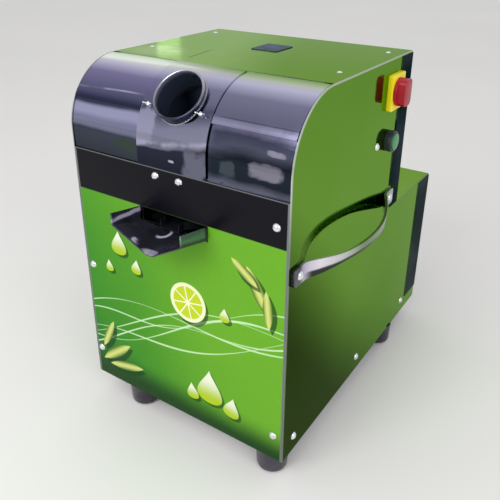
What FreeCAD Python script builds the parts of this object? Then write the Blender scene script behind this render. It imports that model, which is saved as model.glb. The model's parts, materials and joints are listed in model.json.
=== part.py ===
"""Countertop sugarcane juicer with an electric gearmotor, as a parametric FreeCAD document.

Every piece is drawn in the cabinet's own frame: X across the front (0 at the middle), Y backwards
from the front panel, Z upwards from the underside of the cabinet. A last placement, the same for
all pieces, stands the machine on its feet with the origin under the middle of its box.
All sizes are millimetres.
"""
import FreeCAD, Part
import math
import os

import Sketcher
from FreeCAD import Placement, Rotation, Vector

doc = FreeCAD.newDocument("SugarcaneJuicer")
dims = doc.addObject("Spreadsheet::Sheet", "dims")

# ---------------------------------------------------------------- driving dimensions
DRIVING = {
    # cabinet
    "cab_width": 400, "cab_depth": 395, "cab_height": 580,
    "total_depth": 581, "box_height": 299, "nose_radius": 105,
    "sheet": 1.5, "foot_height": 42, "front_shift": -270.5,
    # front: printed panel, and the plain sheet behind its top edge
    "print_top": 446, "plain_back": 1.8, "plain_sheet": 1.2, "plain_top": 519.5,
    # hood: its lower edge and the hem folded along it
    "hood_low": 526, "hem_top": 537, "hem_proud": 1.4,
    # seam and hinge of the hood
    "seam": 100, "hinge_back": 102.6, "hinge_up": 577.3, "knuckle_radius": 2.2,
    # feed tube: a point on its axis, and its ends measured from there
    "feed_centre": 2, "feed_back": 95, "feed_up": 485, "feed_angle": 44,
    "tube_radius": 39, "tube_foot": 62, "tube_rim": 101, "feed_plate_half": 63,
    # crusher
    "roller_radius": 37, "roller_half": 62, "roller_gap": 2, "shaft_radius": 12.5, "nip_depth": 35,
    "roller_spread": 70, "cheek_inner": 70, "cheek_thick": 12, "gear_module": 4, "gear_teeth": 19,
    "gear_width": 20,
    # chain drive
    "chain_pitch": 19.05, "big_teeth": 28, "small_teeth": 14, "chain_links": 64, "chain_plane": 105.5,
    "drive_height": 112,
    # juice tray and spout
    "spout_half": 64, "spout_reach": 61,
    # controls on the right side
    "switch_back": 324, "switch_up": 526, "button_back": 320, "button_up": 443, "button_travel": 4,
    # carry handles
    "handle_bow": 39.5, "handle_wide": 28, "handle_narrow": 16, "handle_thick": 5,
    "handle_up": 331, "handle_front": 8, "handle_back": 360,
    # fasteners
    "dome_radius": 6.5, "dome_height": 4.2,
}


def fill_sheet(values):
    """Write each driving dimension into its own row of the spreadsheet, under its name."""
    for row, (alias, value) in enumerate(values.items(), start=1):
        dims.set(f"A{row}", alias)
        dims.set(f"B{row}", str(value))
        dims.setAlias(f"B{row}", alias)


fill_sheet(DRIVING)
doc.recompute()


class Size:
    """A length that keeps its formula, so that a feature can be bound to the spreadsheet."""

    def __init__(self, value, text):
        self.value, self.text = float(value), text

    def join(self, other, sign, value):
        other = size(other)
        return Size(value(self.value, other.value), f"({self.text} {sign} {other.text})")

    def __add__(self, other):
        return self.join(other, "+", lambda a, b: a + b)

    def __sub__(self, other):
        return self.join(other, "-", lambda a, b: a - b)

    def __mul__(self, other):
        return self.join(other, "*", lambda a, b: a * b)

    def __truediv__(self, other):
        return self.join(other, "/", lambda a, b: a / b)

    def __neg__(self):
        return Size(-self.value, f"(0 - {self.text})")

    __radd__ = __add__

    def __rsub__(self, other):
        return size(other) - self


def size(value):
    """Take a driving dimension by name, or wrap a plain number."""
    if isinstance(value, Size):
        return value
    if isinstance(value, str):
        return Size(dims.get(value), f"dims.{value}")
    return Size(value, repr(float(value)) if value >= 0 else f"(0 - {repr(float(-value))})")


def number(value):
    """The plain number of a size."""
    return size(value).value


def bind(obj, prop, value):
    """Bind one property of an object to the formula of a size."""
    obj.setExpression(prop, size(value).text)


def bind_position(obj, x=0, y=0, z=0):
    """Bind the three coordinates of an object's placement."""
    for axis, value in zip("xyz", (x, y, z)):
        bind(obj, f".Placement.Base.{axis}", value)


# ---------------------------------------------------------------- names used all over
half = size("cab_width") / 2
sheet = size("sheet")
depth = size("cab_depth")
height = size("cab_height")
full_depth = size("total_depth")
box_height = size("box_height")
nose = size("nose_radius")
nose_up = height - nose
inside = half - sheet
nodes = []
corners = {}


def node(obj, label, x=0, y=0, z=0):
    """Name a finished sub-part and stand it, from its own point, in the machine's frame."""
    x, y, z = corners.get(obj.Name, (x, y, z))
    obj.Label = label
    bind_position(obj, x, y + size("front_shift"), z + size("foot_height"))
    nodes.append(obj)


# ---------------------------------------------------------------- sketch and feature helpers
class Arc:
    """The edge between the two points beside it is an arc of this radius."""

    def __init__(self, radius, ccw):
        self.radius, self.ccw = size(radius), ccw


class Circle:
    """A round hole or disc in a sketch."""

    def __init__(self, u, v, radius):
        self.u, self.v, self.radius = size(u), size(v), size(radius)


def new_body(name):
    return doc.addObject("PartDesign::Body", name)


def origin_plane(body, role):
    return next(f for f in body.Origin.OriginFeatures if f.Role == role)


def arc_centre(start, end, radius, ccw):
    """Centre of the shorter arc from start to end."""
    middle = (start + end) / 2
    chord = end - start
    rise = math.sqrt(max(radius ** 2 - (chord.Length / 2) ** 2, 0.0))
    left = Vector(-chord.y, chord.x, 0).normalize()
    return middle + left * (rise if ccw else -rise)


def add_arc(sketch, start, end, arc):
    """Add an arc edge. It always runs counter-clockwise, so a clockwise one is entered reversed."""
    centre = arc_centre(start, end, arc.radius.value, arc.ccw)
    first, last = (start, end) if arc.ccw else (end, start)
    angles = [math.atan2(p.y - centre.y, p.x - centre.x) for p in (first, last)]
    if angles[1] < angles[0]:
        angles[1] += 2 * math.pi
    circle = Part.Circle(centre, Vector(0, 0, 1), arc.radius.value)
    index = sketch.addGeometry(Part.ArcOfCircle(circle, *angles), False)
    fixed = sketch.addConstraint(Sketcher.Constraint("Radius", index, arc.radius.value))
    bind(sketch, f"Constraints[{fixed}]", arc.radius)
    return (index, 1, 2) if arc.ccw else (index, 2, 1)


def add_loop(sketch, path):
    """Add a closed outline: points, and an Arc between two points where the edge is round."""
    points = [p for p in path if not isinstance(p, Arc)]
    arcs, count = {}, -1
    for item in path:
        if isinstance(item, Arc):
            arcs[count] = item
        else:
            count += 1
    places = [Vector(number(u), number(v), 0) for u, v in points]
    edges = []
    for i, start in enumerate(places):
        end = places[(i + 1) % len(places)]
        if i in arcs:
            edges.append(add_arc(sketch, start, end, arcs[i]))
        else:
            edges.append((sketch.addGeometry(Part.LineSegment(start, end), False), 1, 2))
    for i, (index, first, last) in enumerate(edges):
        after = edges[(i + 1) % len(edges)]
        sketch.addConstraint(Sketcher.Constraint("Coincident", index, last, after[0], after[1]))
    for (u, v), (index, first, last) in zip(points, edges):
        for kind, value in (("DistanceX", u), ("DistanceY", v)):
            fixed = sketch.addConstraint(Sketcher.Constraint(kind, -1, 1, index, first, number(value)))
            bind(sketch, f"Constraints[{fixed}]", value)


def add_circle(sketch, circle):
    middle = Vector(circle.u.value, circle.v.value, 0)
    index = sketch.addGeometry(Part.Circle(middle, Vector(0, 0, 1), circle.radius.value), False)
    for kind, args, value in (("DistanceX", (-1, 1, index, 3), circle.u),
                              ("DistanceY", (-1, 1, index, 3), circle.v),
                              ("Radius", (index,), circle.radius)):
        fixed = sketch.addConstraint(Sketcher.Constraint(kind, *args, value.value))
        bind(sketch, f"Constraints[{fixed}]", value)


def sketch_on(body, role, loops, offset=0):
    """Sketch on an origin plane of the body. XZ sketches look backwards, so their offset is -Y."""
    sketch = body.newObject("Sketcher::SketchObject", body.Name + "_sketch")
    sketch.AttachmentSupport = [(origin_plane(body, role), "")]
    sketch.MapMode = "FlatFace"
    bind(sketch, ".AttachmentOffset.Base.z", offset)
    for loop in loops:
        if isinstance(loop, Circle):
            add_circle(sketch, loop)
        else:
            add_loop(sketch, loop)
    return sketch


def feature(body, kind, name, profile, **settings):
    """Add a sketch-based feature and make it the tip of the body."""
    made = body.newObject(f"PartDesign::{kind}", name)
    made.Profile = profile
    for prop, value in settings.items():
        if isinstance(value, (Size, int, float, str)) and not isinstance(value, bool):
            bind(made, prop, value)
        else:
            setattr(made, prop, value)
    body.Tip = made
    return made


def pad(body, role, loops, length, offset=0, backwards=False, name="Pad"):
    """Pad along the plane's normal, or against it when backwards is set."""
    profile = sketch_on(body, role, loops, offset)
    return feature(body, "Pad", name, profile, Length=length, Reversed=backwards)


def pocket(body, role, loops, length, offset=0, backwards=False, name="Pocket"):
    """Cut against the plane's normal, or along it when backwards is set."""
    profile = sketch_on(body, role, loops, offset)
    return feature(body, "Pocket", name, profile, Length=length, Reversed=backwards)


def padded(name, role, loops, length, offset=0, backwards=False):
    """A body that is one padded outline."""
    body = new_body(name)
    pad(body, role, loops, length, offset, backwards)
    return body


def repeat(body, kind, made, **settings):
    """Pattern a feature and make the pattern the tip of the body."""
    pattern = body.newObject(f"PartDesign::{kind}", body.Name + "_pattern")
    pattern.Originals = [made]
    for prop, value in settings.items():
        setattr(pattern, prop, value)
    body.Tip = pattern
    return pattern


def rectangle(u0, v0, u1, v1):
    return [(u0, v0), (u1, v0), (u1, v1), (u0, v1)]


def rounded(u0, v0, u1, v1, r):
    """A rectangle with round corners."""
    u0, v0, u1, v1, r = (size(value) for value in (u0, v0, u1, v1, r))
    corner = Arc(r, True)
    return [(u0 + r, v0), (u1 - r, v0), corner, (u1, v0 + r), (u1, v1 - r), corner,
            (u1 - r, v1), (u0 + r, v1), corner, (u0, v1 - r), (u0, v0 + r), corner]


# ---------------------------------------------------------------- primitives and booleans
AXES = {"X": Rotation(Vector(0, 1, 0), 90), "Y": Rotation(Vector(1, 0, 0), -90), "Z": Rotation()}


def corner_at(obj, x, y, z):
    """Place a primitive, and remember where, for when it becomes a node by itself."""
    corners[obj.Name] = (size(x), size(y), size(z))
    bind_position(obj, x, y, z)
    return obj


def block(name, x0, x1, y0, y1, z0, z1):
    """A box between two corners."""
    box = doc.addObject("Part::Box", name)
    for prop, low, high in (("Length", x0, x1), ("Width", y0, y1), ("Height", z0, z1)):
        bind(box, prop, size(high) - size(low))
    return corner_at(box, x0, y0, z0)


def rod(name, radius, length, x=0, y=0, z=0, along="X"):
    """A cylinder that starts at a point and runs along an axis."""
    made = doc.addObject("Part::Cylinder", name)
    made.Placement = Placement(Vector(), AXES[along])
    bind(made, "Radius", radius)
    bind(made, "Height", length)
    return corner_at(made, x, y, z)


def common(name, *parts):
    made = doc.addObject("Part::MultiCommon", name)
    made.Shapes = list(parts)
    return made


def fused(name, *parts):
    made = doc.addObject("Part::MultiFuse", name)
    made.Shapes = list(parts)
    return made


def minus(name, base, *tools):
    made = doc.addObject("Part::Cut", name)
    made.Base = base
    made.Tool = tools[0] if len(tools) == 1 else fused(name + "_tools", *tools)
    return made


def shaped(name, shapes):
    """A node whose shape is worked out here, as one solid or as a group of separate ones."""
    made = doc.addObject("Part::Feature", name)
    made.Shape = shapes[0] if len(shapes) == 1 else Part.makeCompound(shapes)
    return made


def polygon_face(points):
    return Part.Face(Part.makePolygon(points + points[:1]))


def turned(profile, axis=Vector(0, 0, 1)):
    """Revolve an outline of (radius, height) pairs about the local Z axis."""
    face = polygon_face([Vector(r, 0, h) for r, h in profile])
    return face.revolve(Vector(), axis, 360)


# ---------------------------------------------------------------- cabinet sheets
def side_outline():
    """L-shaped side with a quarter-round nose: cabinet in front, lower motor box behind."""
    return [(0, 0), (full_depth, 0), (full_depth, box_height), (depth, box_height),
            (depth, height), (nose, height), Arc(nose, True), (0, nose_up)]


def make_side(label, offset, holes):
    body = padded(label, "YZ_Plane", [side_outline()], sheet, offset)
    if holes:
        pocket(body, "YZ_Plane", holes, sheet * 2, offset + sheet + 0.1, name="ControlHoles")
    return node(body, label)


def make_top():
    """Top sheet with a short flange turned down on each side."""
    edge, flange = inside - 0.2, height - 16
    low = height - sheet
    path = [(-edge, flange), (-edge + sheet, flange), (-edge + sheet, low), (edge - sheet, low),
            (edge - sheet, flange), (edge, flange), (edge, height), (-edge, height)]
    start = size("hinge_back") + 3
    node(padded("top_panel", "XZ_Plane", [path], depth - start, -start, True), "top_panel")


def make_front_panel():
    """Printed front: a shallow tray of sheet with its sides turned in, and the spout's window."""
    edge, turn = inside - 0.2, 18
    path = [(-edge, 0), (edge, 0), (edge, turn), (edge - sheet, turn), (edge - sheet, sheet),
            (-edge + sheet, sheet), (-edge + sheet, turn), (-edge, turn)]
    body = padded("front_panel", "XY_Plane", [path], "print_top")
    window = rectangle(-60, 354, 60, 376)
    pocket(body, "XZ_Plane", [window], sheet * 2, 0.5, name="SpoutWindow")
    node(body, "front_panel")


def nose_point(radius, angle):
    """Point (y, z) of a roll about the nose's centre, at an angle up from straight ahead."""
    return nose - size(radius) * math.cos(angle), nose_up + size(radius) * math.sin(angle)


def nose_angle(radius, name):
    """Angle at which a roll of this radius reaches a named height."""
    return math.asin((number(name) - number(nose_up)) / number(radius))


def at_seam(radius):
    """Point (y, z) of a roll about the nose's centre, at the seam."""
    back = number(nose) - number("seam")
    return size("seam"), nose_up + math.sqrt(number(radius) ** 2 - back ** 2)


def make_plain_panel():
    """Plain mirror sheet behind the print's top edge, rolled to end just under the hood's hem."""
    edge, face = inside - 0.4, size("plain_back")
    back = face + "plain_sheet"
    outer, inner = nose - face, nose - back
    low, turn = size("print_top") - 16, nose_angle(outer, "plain_top")
    path = [(face, low), (back, low), (back, nose_up), Arc(inner, False), nose_point(inner, turn),
            nose_point(outer, turn), Arc(outer, True), (face, nose_up)]
    body = padded("front_plain_panel", "YZ_Plane", [path], edge * 2, -edge)
    notch = [rectangle(-200, 425, -196.3, 446.3), rectangle(196.3, 425, 200, 446.3)]
    pocket(body, "XZ_Plane", notch, 5, 0.5, name="FlangeNotch")
    pocket(body, "XZ_Plane", [rectangle(-42, 512, 46, 525)], 30, 0.5, name="TubeNotch")
    node(body, "front_plain_panel")


def make_hood():
    """Rolled hood with a hem folded along its lower edge, and a hole for the feed tube."""
    edge, inner = inside - 0.9, nose - sheet
    low, top = nose_angle(nose, "hood_low"), nose_angle(nose, "hem_top")
    path = [at_seam(inner), at_seam(nose), Arc(nose, True), nose_point(nose, low),
            nose_point(inner, low), Arc(inner, False)]
    body = padded("hood_sheet", "YZ_Plane", [path], edge * 2, -edge)
    proud, root = nose + "hem_proud", nose - 0.5
    hem = [nose_point(root, low), nose_point(proud, low), Arc(proud, False), nose_point(proud, top),
           nose_point(root, top), Arc(root, True)]
    middle, gap = size("feed_centre"), size("feed_plate_half") + 1.2
    for start, end in ((-edge, middle - gap), (middle + gap, edge)):
        pad(body, "YZ_Plane", [hem], end - start, start, name="Hem")
    hole = tube_drill("hood_hole", size("tube_radius") + 0.4)
    node(minus("hood", body, hole), "hood")


def tube_axis():
    angle = math.radians(number("feed_angle"))
    return Vector(0, -math.cos(angle), math.sin(angle))


def tube_start():
    return Vector(number("feed_centre"), number("feed_back"), number("feed_up"))


def tube_drill(name, radius):
    """A long cylinder on the axis of the feed tube."""
    tool = doc.addObject("Part::Cylinder", name)
    tool.Placement = Placement(tube_start(), Rotation(Vector(0, 0, 1), tube_axis()))
    bind(tool, "Radius", radius)
    bind(tool, "Height", size("tube_rim") + 40)
    bind_position(tool, "feed_centre", "feed_back", "feed_up")
    return tool


def make_feed_plate():
    """Narrow plate from the seam, over the hood and down to the print, that carries the tube."""
    gap = 0.1
    inner, outer = nose + gap, nose + gap + sheet
    low, wide = size("print_top") + 1, size("feed_plate_half")
    path = [(nose - inner, low), (nose - inner, nose_up), Arc(inner, False), at_seam(inner),
            at_seam(outer), Arc(outer, True), (nose - outer, nose_up), (nose - outer, low)]
    body = padded("feed_plate_sheet", "YZ_Plane", [path], wide * 2, size("feed_centre") - wide)
    hole = tube_drill("feed_plate_hole", size("tube_radius") + 0.1)
    node(minus("feed_plate", body, hole), "feed_plate")


def make_feed_tube():
    """Short round tube with a rolled rim, turned about its own axis and then set in the nose."""
    radius, wall = size("tube_radius"), sheet
    low, high = size("tube_foot"), size("tube_rim")
    body = new_body("feed_tube_turned")
    path = [(radius - wall, low), (radius, low), (radius, high - 3), (radius + 2.2, high - 2.2),
            (radius + 2.2, high), (radius, high + 0.8), (radius - wall, high)]
    profile = sketch_on(body, "XZ_Plane", [path])
    feature(body, "Revolution", "Turn", profile, ReferenceAxis=(profile, ["V_Axis"]), Angle=360)
    place_on_axis(body, tube_start(), tube_axis())
    node(body, "feed_tube", *tube_start())


def place_on_axis(obj, base, direction):
    obj.Placement = Placement(base, Rotation(Vector(0, 0, 1), direction))


def make_rear_cover():
    """Upper rear cover: back wall with the bagasse window, and flanges round the side sheets."""
    t, wrap = 1.2, 46
    full_wide = half * 2 + 20
    low, top = box_height + 5, height - 3
    path = [(-half - t, depth - wrap + t), (-half, depth - wrap + t), (-half, depth),
            (half, depth), (half, depth - wrap + t), (half + t, depth - wrap + t),
            (half + t, depth + t), (-half - t, depth + t)]
    body = padded("rear_cover", "XY_Plane", [path], top - low, low)
    window = rectangle(-75, 398, 75, 500)
    pocket(body, "XZ_Plane", [window], 6, -depth + 2, name="BagasseWindow")
    notch = rectangle(depth - wrap, low - 1, size("handle_back") + 2, size("handle_up") + 19)
    pocket(body, "YZ_Plane", [notch], full_wide, half + 10, name="HandleNotch")
    node(body, "rear_cover")


def make_motor_box():
    """Lower motor box: green lid, and a rear cover with rows of air slots."""
    t, wrap, edge = 1.2, 60, inside - 0.2
    lid = block("motor_box_lid", -edge, edge, depth, full_depth, box_height - sheet, box_height)
    node(lid, "motor_box_lid")
    path = [(-half - t, full_depth - wrap), (-half, full_depth - wrap), (-half, full_depth),
            (half, full_depth), (half, full_depth - wrap), (half + t, full_depth - wrap),
            (half + t, full_depth + t), (-half - t, full_depth + t)]
    body = padded("motor_box_cover", "XY_Plane", [path], box_height - 31, 28)
    for side in (-1, 1):
        low, high = sorted((side * 30, side * 130))
        slot = rounded(low, 90, high, 96, 2.9)
        made = pocket(body, "XZ_Plane", [slot], 6, -full_depth + 2, name="AirSlot")
        pattern = repeat(body, "LinearPattern", made, Direction=(made.Profile[0], ["V_Axis"]),
                         Length=126, Occurrences=8)
        body.Tip = pattern
    node(body, "motor_box_cover")


def make_base():
    """Base plate, the rails under the gearmotor and the welded stand of the crusher."""
    edge = inside - 2
    plate = padded("base_plate", "XY_Plane", [rectangle(-edge, 2, edge, full_depth - 1)], 3)
    node(plate, "base_plate")
    rails = [block("rail", -180, 180, y, y + 25, 3, 28) for y in (372, 497)]
    node(fused("motor_rails", *rails), "motor_rails")
    inner, outer = size("cheek_inner") - 4, size("cheek_inner") + 16
    parts = []
    for side in (-1, 1):
        low, high = sorted((side * number(inner), side * number(outer)))
        parts.append(block("stand_rail", low, high, 48, 250, 320, 345))
        parts.append(block("stand_leg", low, high, 48, 68, 3, 330))
        parts.append(block("stand_leg", low, high, 230, 250, 3, 330))
    parts.append(block("stand_tie", -inner, inner, 225, 245, 326, 345))
    parts.append(block("stand_tie", -inner, inner, 52, 64, 200, 220))
    parts.append(block("tray_rest", -inner, inner, 229, 241, 344, 365.4))
    node(fused("crusher_stand", *parts), "crusher_stand")


def make_feet():
    """Tapered rubber feet under the base plate, set unevenly."""
    places = {"front_left": (-112, 27), "front_right": (166, 27), "rear_left": (-112, 440),
              "rear_right": (176, 440)}
    for name, (x, y) in places.items():
        foot = doc.addObject("Part::Cone", "foot_" + name)
        bind(foot, "Radius1", 25.5)
        bind(foot, "Radius2", 27)
        bind(foot, "Height", "foot_height")
        foot.Label = "foot_" + name
        bind_position(foot, x, y + size("front_shift"), 0)
        nodes.append(foot)


# ---------------------------------------------------------------- hood hinge
def make_hinge():
    """Piano hinge in the seam: its knuckles take turns on one pin."""
    count, length = 7, 370
    radius, y, z = size("knuckle_radius"), size("hinge_back"), size("hinge_up")
    pitch, bore = length / count, 1.1
    under = height - sheet
    sides = {"hood_hinge_leaf": (size("seam") - 5, size("seam") - 0.2, y - 3.5, y, under - 0.55, 1),
             "top_hinge_leaf": (y + 3.2, y + 22, y, y + 4, under, 0)}
    for label, (leaf_0, leaf_1, tab_0, tab_1, high, first) in sides.items():
        low = high - 1.4
        parts = [block(label + "_plate", -length / 2, length / 2, leaf_0, leaf_1, low, high)]
        for k in range(first, count, 2):
            x = -length / 2 + k * pitch + 0.3
            parts.append(rod(label + "_knuckle", radius, pitch - 0.6, x, y, z))
            parts.append(block(label + "_tab", x, x + pitch - 0.6, tab_0, tab_1, low, z + 1))
        drill = rod(label + "_bore", bore, length + 20, -length / 2 - 10, y, z)
        node(minus(label, fused(label + "_raw", *parts), drill), label)
    node(rod("hinge_pin", 1.0, length + 6, -length / 2 - 3, y, z), "hinge_pin")


# ---------------------------------------------------------------- thumb screws of the feed plate
def thumb_screw_seat(side):
    """Foot point and outward direction of a thumb screw on the nose."""
    angle = math.radians(33.5)
    out = Vector(0, -math.cos(angle), math.sin(angle))
    centre = Vector(number("feed_centre") + side * 47, number(nose), number(nose_up))
    return centre + out * (number(nose) + number(sheet) + 0.15), out


def make_thumb_screws():
    for label, side in (("thumb_screw_left", -1), ("thumb_screw_right", 1)):
        body = new_body(label)
        profile = sketch_on(body, "XZ_Plane", [[(0, 0), (4.6, 0), (4.6, 2.2), (3.6, 7), (0, 8)]])
        feature(body, "Revolution", "Hub", profile, ReferenceAxis=(profile, ["V_Axis"]), Angle=360)
        wing = [(0, 2), (4.2, 2.4), (9, 7), (8.6, 11.5), (5.8, 11.5), (2.4, 5.8), (0, 5.4)]
        mirrored = [(-u, v) for u, v in reversed(wing[1:-1])]
        pad(body, "XZ_Plane", [wing + mirrored], 2.4, -1.2, name="Wings")
        base, out = thumb_screw_seat(side)
        place_on_axis(body, base, out)
        node(body, label, *base)


# ---------------------------------------------------------------- crusher
def roller_places():
    """Centres (y, z) of the top, feed and discharge rollers around the feed line."""
    angle = math.radians(number("feed_angle"))
    along = Vector(0, math.cos(angle), -math.sin(angle))
    across = Vector(0, math.sin(angle), math.cos(angle))
    spacing = number("gear_module") * number("gear_teeth")
    nip = Vector(0, number("feed_back"), number("feed_up")) + along * number("nip_depth")
    top = nip + across * (spacing / 2)
    feed = nip - across * (spacing / 2)
    spread = math.radians(number("roller_spread"))
    start = math.atan2(feed.z - top.z, feed.y - top.y) + spread
    discharge = top + Vector(0, math.cos(start), math.sin(start)) * spacing
    return {"top": top, "feed": feed, "discharge": discharge}


PLACES = roller_places()


def make_cheek(label, offset):
    """Thick bearing plate of the crusher with its three bores."""
    outline = [(42, 345), (250, 345), (250, 490), (215, 532), (80, 532), (42, 494)]
    bores = [Circle(p.y, p.z, 17.02) for p in PLACES.values()]
    bars = [Circle(y, z, 8.05) for y, z in TIE_BARS]
    node(padded(label, "YZ_Plane", [outline] + bores + bars, "cheek_thick", offset), label)


TIE_BARS = ((58, 392), (236, 396), (222, 506))


def make_tie_bars():
    """Spacer bars with hexagon nuts that hold the two cheeks apart."""
    reach = number("cheek_inner") + number("cheek_thick")
    bars = []
    for y, z in TIE_BARS:
        bar = Part.makeCylinder(8, 2 * reach + 22, Vector(-reach - 11, y, z), Vector(1, 0, 0))
        collar = Part.makeCylinder(12, 2 * number("cheek_inner"),
                                   Vector(-number("cheek_inner"), y, z), Vector(1, 0, 0))
        bars.append(bar.fuse(collar))
        for side in (-1, 1):
            start = reach if side > 0 else -reach - 8
            turns = [k * math.pi / 3 for k in range(6)]
            points = [Vector(start, y + 13.9 * math.cos(a), z + 13.9 * math.sin(a)) for a in turns]
            nut = polygon_face(points).extrude(Vector(8, 0, 0))
            bars[-1] = bars[-1].fuse(nut)
    node(shaped("tie_bars", bars), "tie_bars")


def make_bushes():
    """Flanged bronze bushes in the cheeks, one at each end of each roller."""
    inner, outer, thick = number("shaft_radius") + 0.05, 17, number("cheek_thick")
    profile = [(inner, 0), (outer, 0), (outer, thick), (21, thick), (21, thick + 3), (inner, thick + 3)]
    bushes = []
    for place in PLACES.values():
        for side in (-1, 1):
            bush = turned(profile)
            bush.Placement = Placement(Vector(side * number("cheek_inner"), place.y, place.z),
                                       Rotation(Vector(0, 0, 1), Vector(side, 0, 0)))
            bushes.append(bush)
    node(shaped("roller_bushes", bushes), "roller_bushes")


def make_roller(name, right_end):
    """Grooved crushing roller, turned in one piece with its shaft."""
    radius, shaft, reach = size("roller_radius"), size("shaft_radius"), size("roller_half")
    left_end = number("cheek_inner") + number("cheek_thick") + 36
    body = new_body("roller_" + name)
    collar, stop = 17, size("cheek_inner") - 0.5
    path = [(-left_end, 0), (right_end, 0), (right_end, shaft), (stop, shaft), (stop, collar),
            (reach, collar), (reach, radius), (-reach, radius), (-reach, collar), (-stop, collar),
            (-stop, shaft), (-left_end, shaft)]
    profile = sketch_on(body, "XY_Plane", [path])
    feature(body, "Revolution", "Turn", profile, ReferenceAxis=(profile, ["H_Axis"]), Angle=360)
    groove = [(-2.2, radius + 1), (0, radius - 2.4), (2.2, radius + 1)]
    made = pocket(body, "YZ_Plane", [groove], reach * 2, reach, name="Groove")
    repeat(body, "PolarPattern", made, Axis=(made.Profile[0], ["N_Axis"]), Angle=360, Occurrences=24)
    place = PLACES[name]
    node(body, "roller_" + name, *place)


def involute(radius, base):
    """Involute function of the pressure angle at a radius."""
    angle = math.acos(min(1.0, base / radius))
    return math.tan(angle) - angle


def gear_outline(teeth, module, phase, backlash=0.5):
    """Involute spur gear outline in the YZ plane; a tooth is centred on the phase angle."""
    pitch = module * teeth / 2
    base, tip, root = pitch * math.cos(math.radians(20)), pitch + 0.95 * module, pitch - 1.25 * module
    half_tooth = math.pi / (2 * teeth) - backlash / (4 * pitch)

    def spread(radius):
        return half_tooth + involute(pitch, base) - involute(max(radius, base), base)

    def at(radius, angle):
        return Vector(0, radius * math.cos(angle), radius * math.sin(angle))

    edges = []
    for k in range(teeth):
        middle = phase + 2 * math.pi * k / teeth
        after = middle + 2 * math.pi / teeth
        left = [at(r, middle - spread(r)) for r in (root, base, (base + tip) / 2, tip)]
        right = [at(r, middle + spread(r)) for r in (tip, (base + tip) / 2, base, root)]
        edges += [Part.LineSegment(left[0], left[1]), Part.Arc(*left[1:]),
                  Part.Arc(left[3], at(tip, middle), right[0]), Part.Arc(*right[:3]),
                  Part.LineSegment(right[2], right[3]),
                  Part.Arc(right[3], at(root, middle + math.pi / teeth), at(root, after - spread(root)))]
    return Part.Wire([edge.toShape() for edge in edges])


def gear_phases():
    """Tooth phase of each gear, so that the three are in mesh at rest."""
    pitch = 2 * math.pi / int(number("gear_teeth"))
    top, feed, discharge = (PLACES[name] for name in ("top", "feed", "discharge"))
    to_feed = math.atan2(feed.z - top.z, feed.y - top.y)
    to_discharge = math.atan2(discharge.z - top.z, discharge.y - top.y)
    ahead = -(to_discharge - to_feed) % pitch
    return {"top": to_feed, "feed": to_feed + math.pi + pitch / 2,
            "discharge": to_discharge + math.pi - ahead + pitch / 2}


def make_gears():
    """Spur gears that couple the three rollers, with a hub against the bush on each."""
    teeth, module, wide = int(number("gear_teeth")), number("gear_module"), number("gear_width")
    face = -number("cheek_inner") - number("cheek_thick") - 3.4
    bore = number("shaft_radius") + 0.02
    for name, phase in gear_phases().items():
        blank = Part.Face(gear_outline(teeth, module, phase)).extrude(Vector(-wide, 0, 0))
        hub = Part.makeCylinder(20, 8, Vector(0.0, 0, 0), Vector(-1, 0, 0))
        blank.translate(Vector(-6, 0, 0))
        gear = blank.fuse(hub).cut(Part.makeCylinder(bore, 60, Vector(10, 0, 0), Vector(-1, 0, 0)))
        made = shaped("gear_" + name, [gear])
        place = PLACES[name]
        node(made, "gear_" + name, face, place.y, place.z)


# ---------------------------------------------------------------- chain drive
def pitch_radius(teeth):
    return number("chain_pitch") / (2 * math.sin(math.pi / teeth))


def drive_layout():
    """Place the drive shaft so that a whole number of links just fits round both sprockets."""
    big, small = int(number("big_teeth")), int(number("small_teeth"))
    step, links = number("chain_pitch"), int(number("chain_links"))
    drop = pitch_radius(big) - pitch_radius(small)
    low, high = 200.0, 800.0
    for _ in range(60):
        distance = (low + high) / 2
        lean = math.asin(drop / distance)
        straight = math.sqrt(distance ** 2 - drop ** 2)
        needed = (2 * straight / step + big * (math.pi + 2 * lean) / (2 * math.pi)
                  + small * (math.pi - 2 * lean) / (2 * math.pi))
        low, high = (low, distance) if needed > links else (distance, high)
    return distance, lean, straight


def drive_centre():
    """The drive shaft stands at a fixed height behind the discharge roller."""
    distance, _, _ = drive_layout()
    start = PLACES["discharge"]
    fall = start.z - number("drive_height")
    return Vector(0, start.y + math.sqrt(distance ** 2 - fall ** 2), number("drive_height"))


def chain_path():
    """Pin centres (y, z) once round the loop, and the tooth phase of each sprocket."""
    big, small = int(number("big_teeth")), int(number("small_teeth"))
    step, links = number("chain_pitch"), int(number("chain_links"))
    _, lean, straight = drive_layout()
    start, end = PLACES["discharge"], drive_centre()
    heading = math.atan2(end.z - start.z, end.y - start.y)
    spans = [("big", big * (math.pi + 2 * lean) / (2 * math.pi)), ("run", straight / step),
             ("small", small * (math.pi - 2 * lean) / (2 * math.pi)), ("back", straight / step)]
    leave = heading + math.pi / 2 - lean
    pins = []
    for k in range(links):
        left = float(k)
        for name, span in spans:
            if left < span:
                break
            left -= span
        pins.append(pin_place(name, left, heading, leave, lean, start, end))
    phase_big = heading - math.pi / 2 + lean
    first_small = math.ceil(spans[0][1] + spans[1][1]) - spans[0][1] - spans[1][1]
    phase_small = leave - first_small * 2 * math.pi / small
    return pins, phase_big, phase_small


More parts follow.
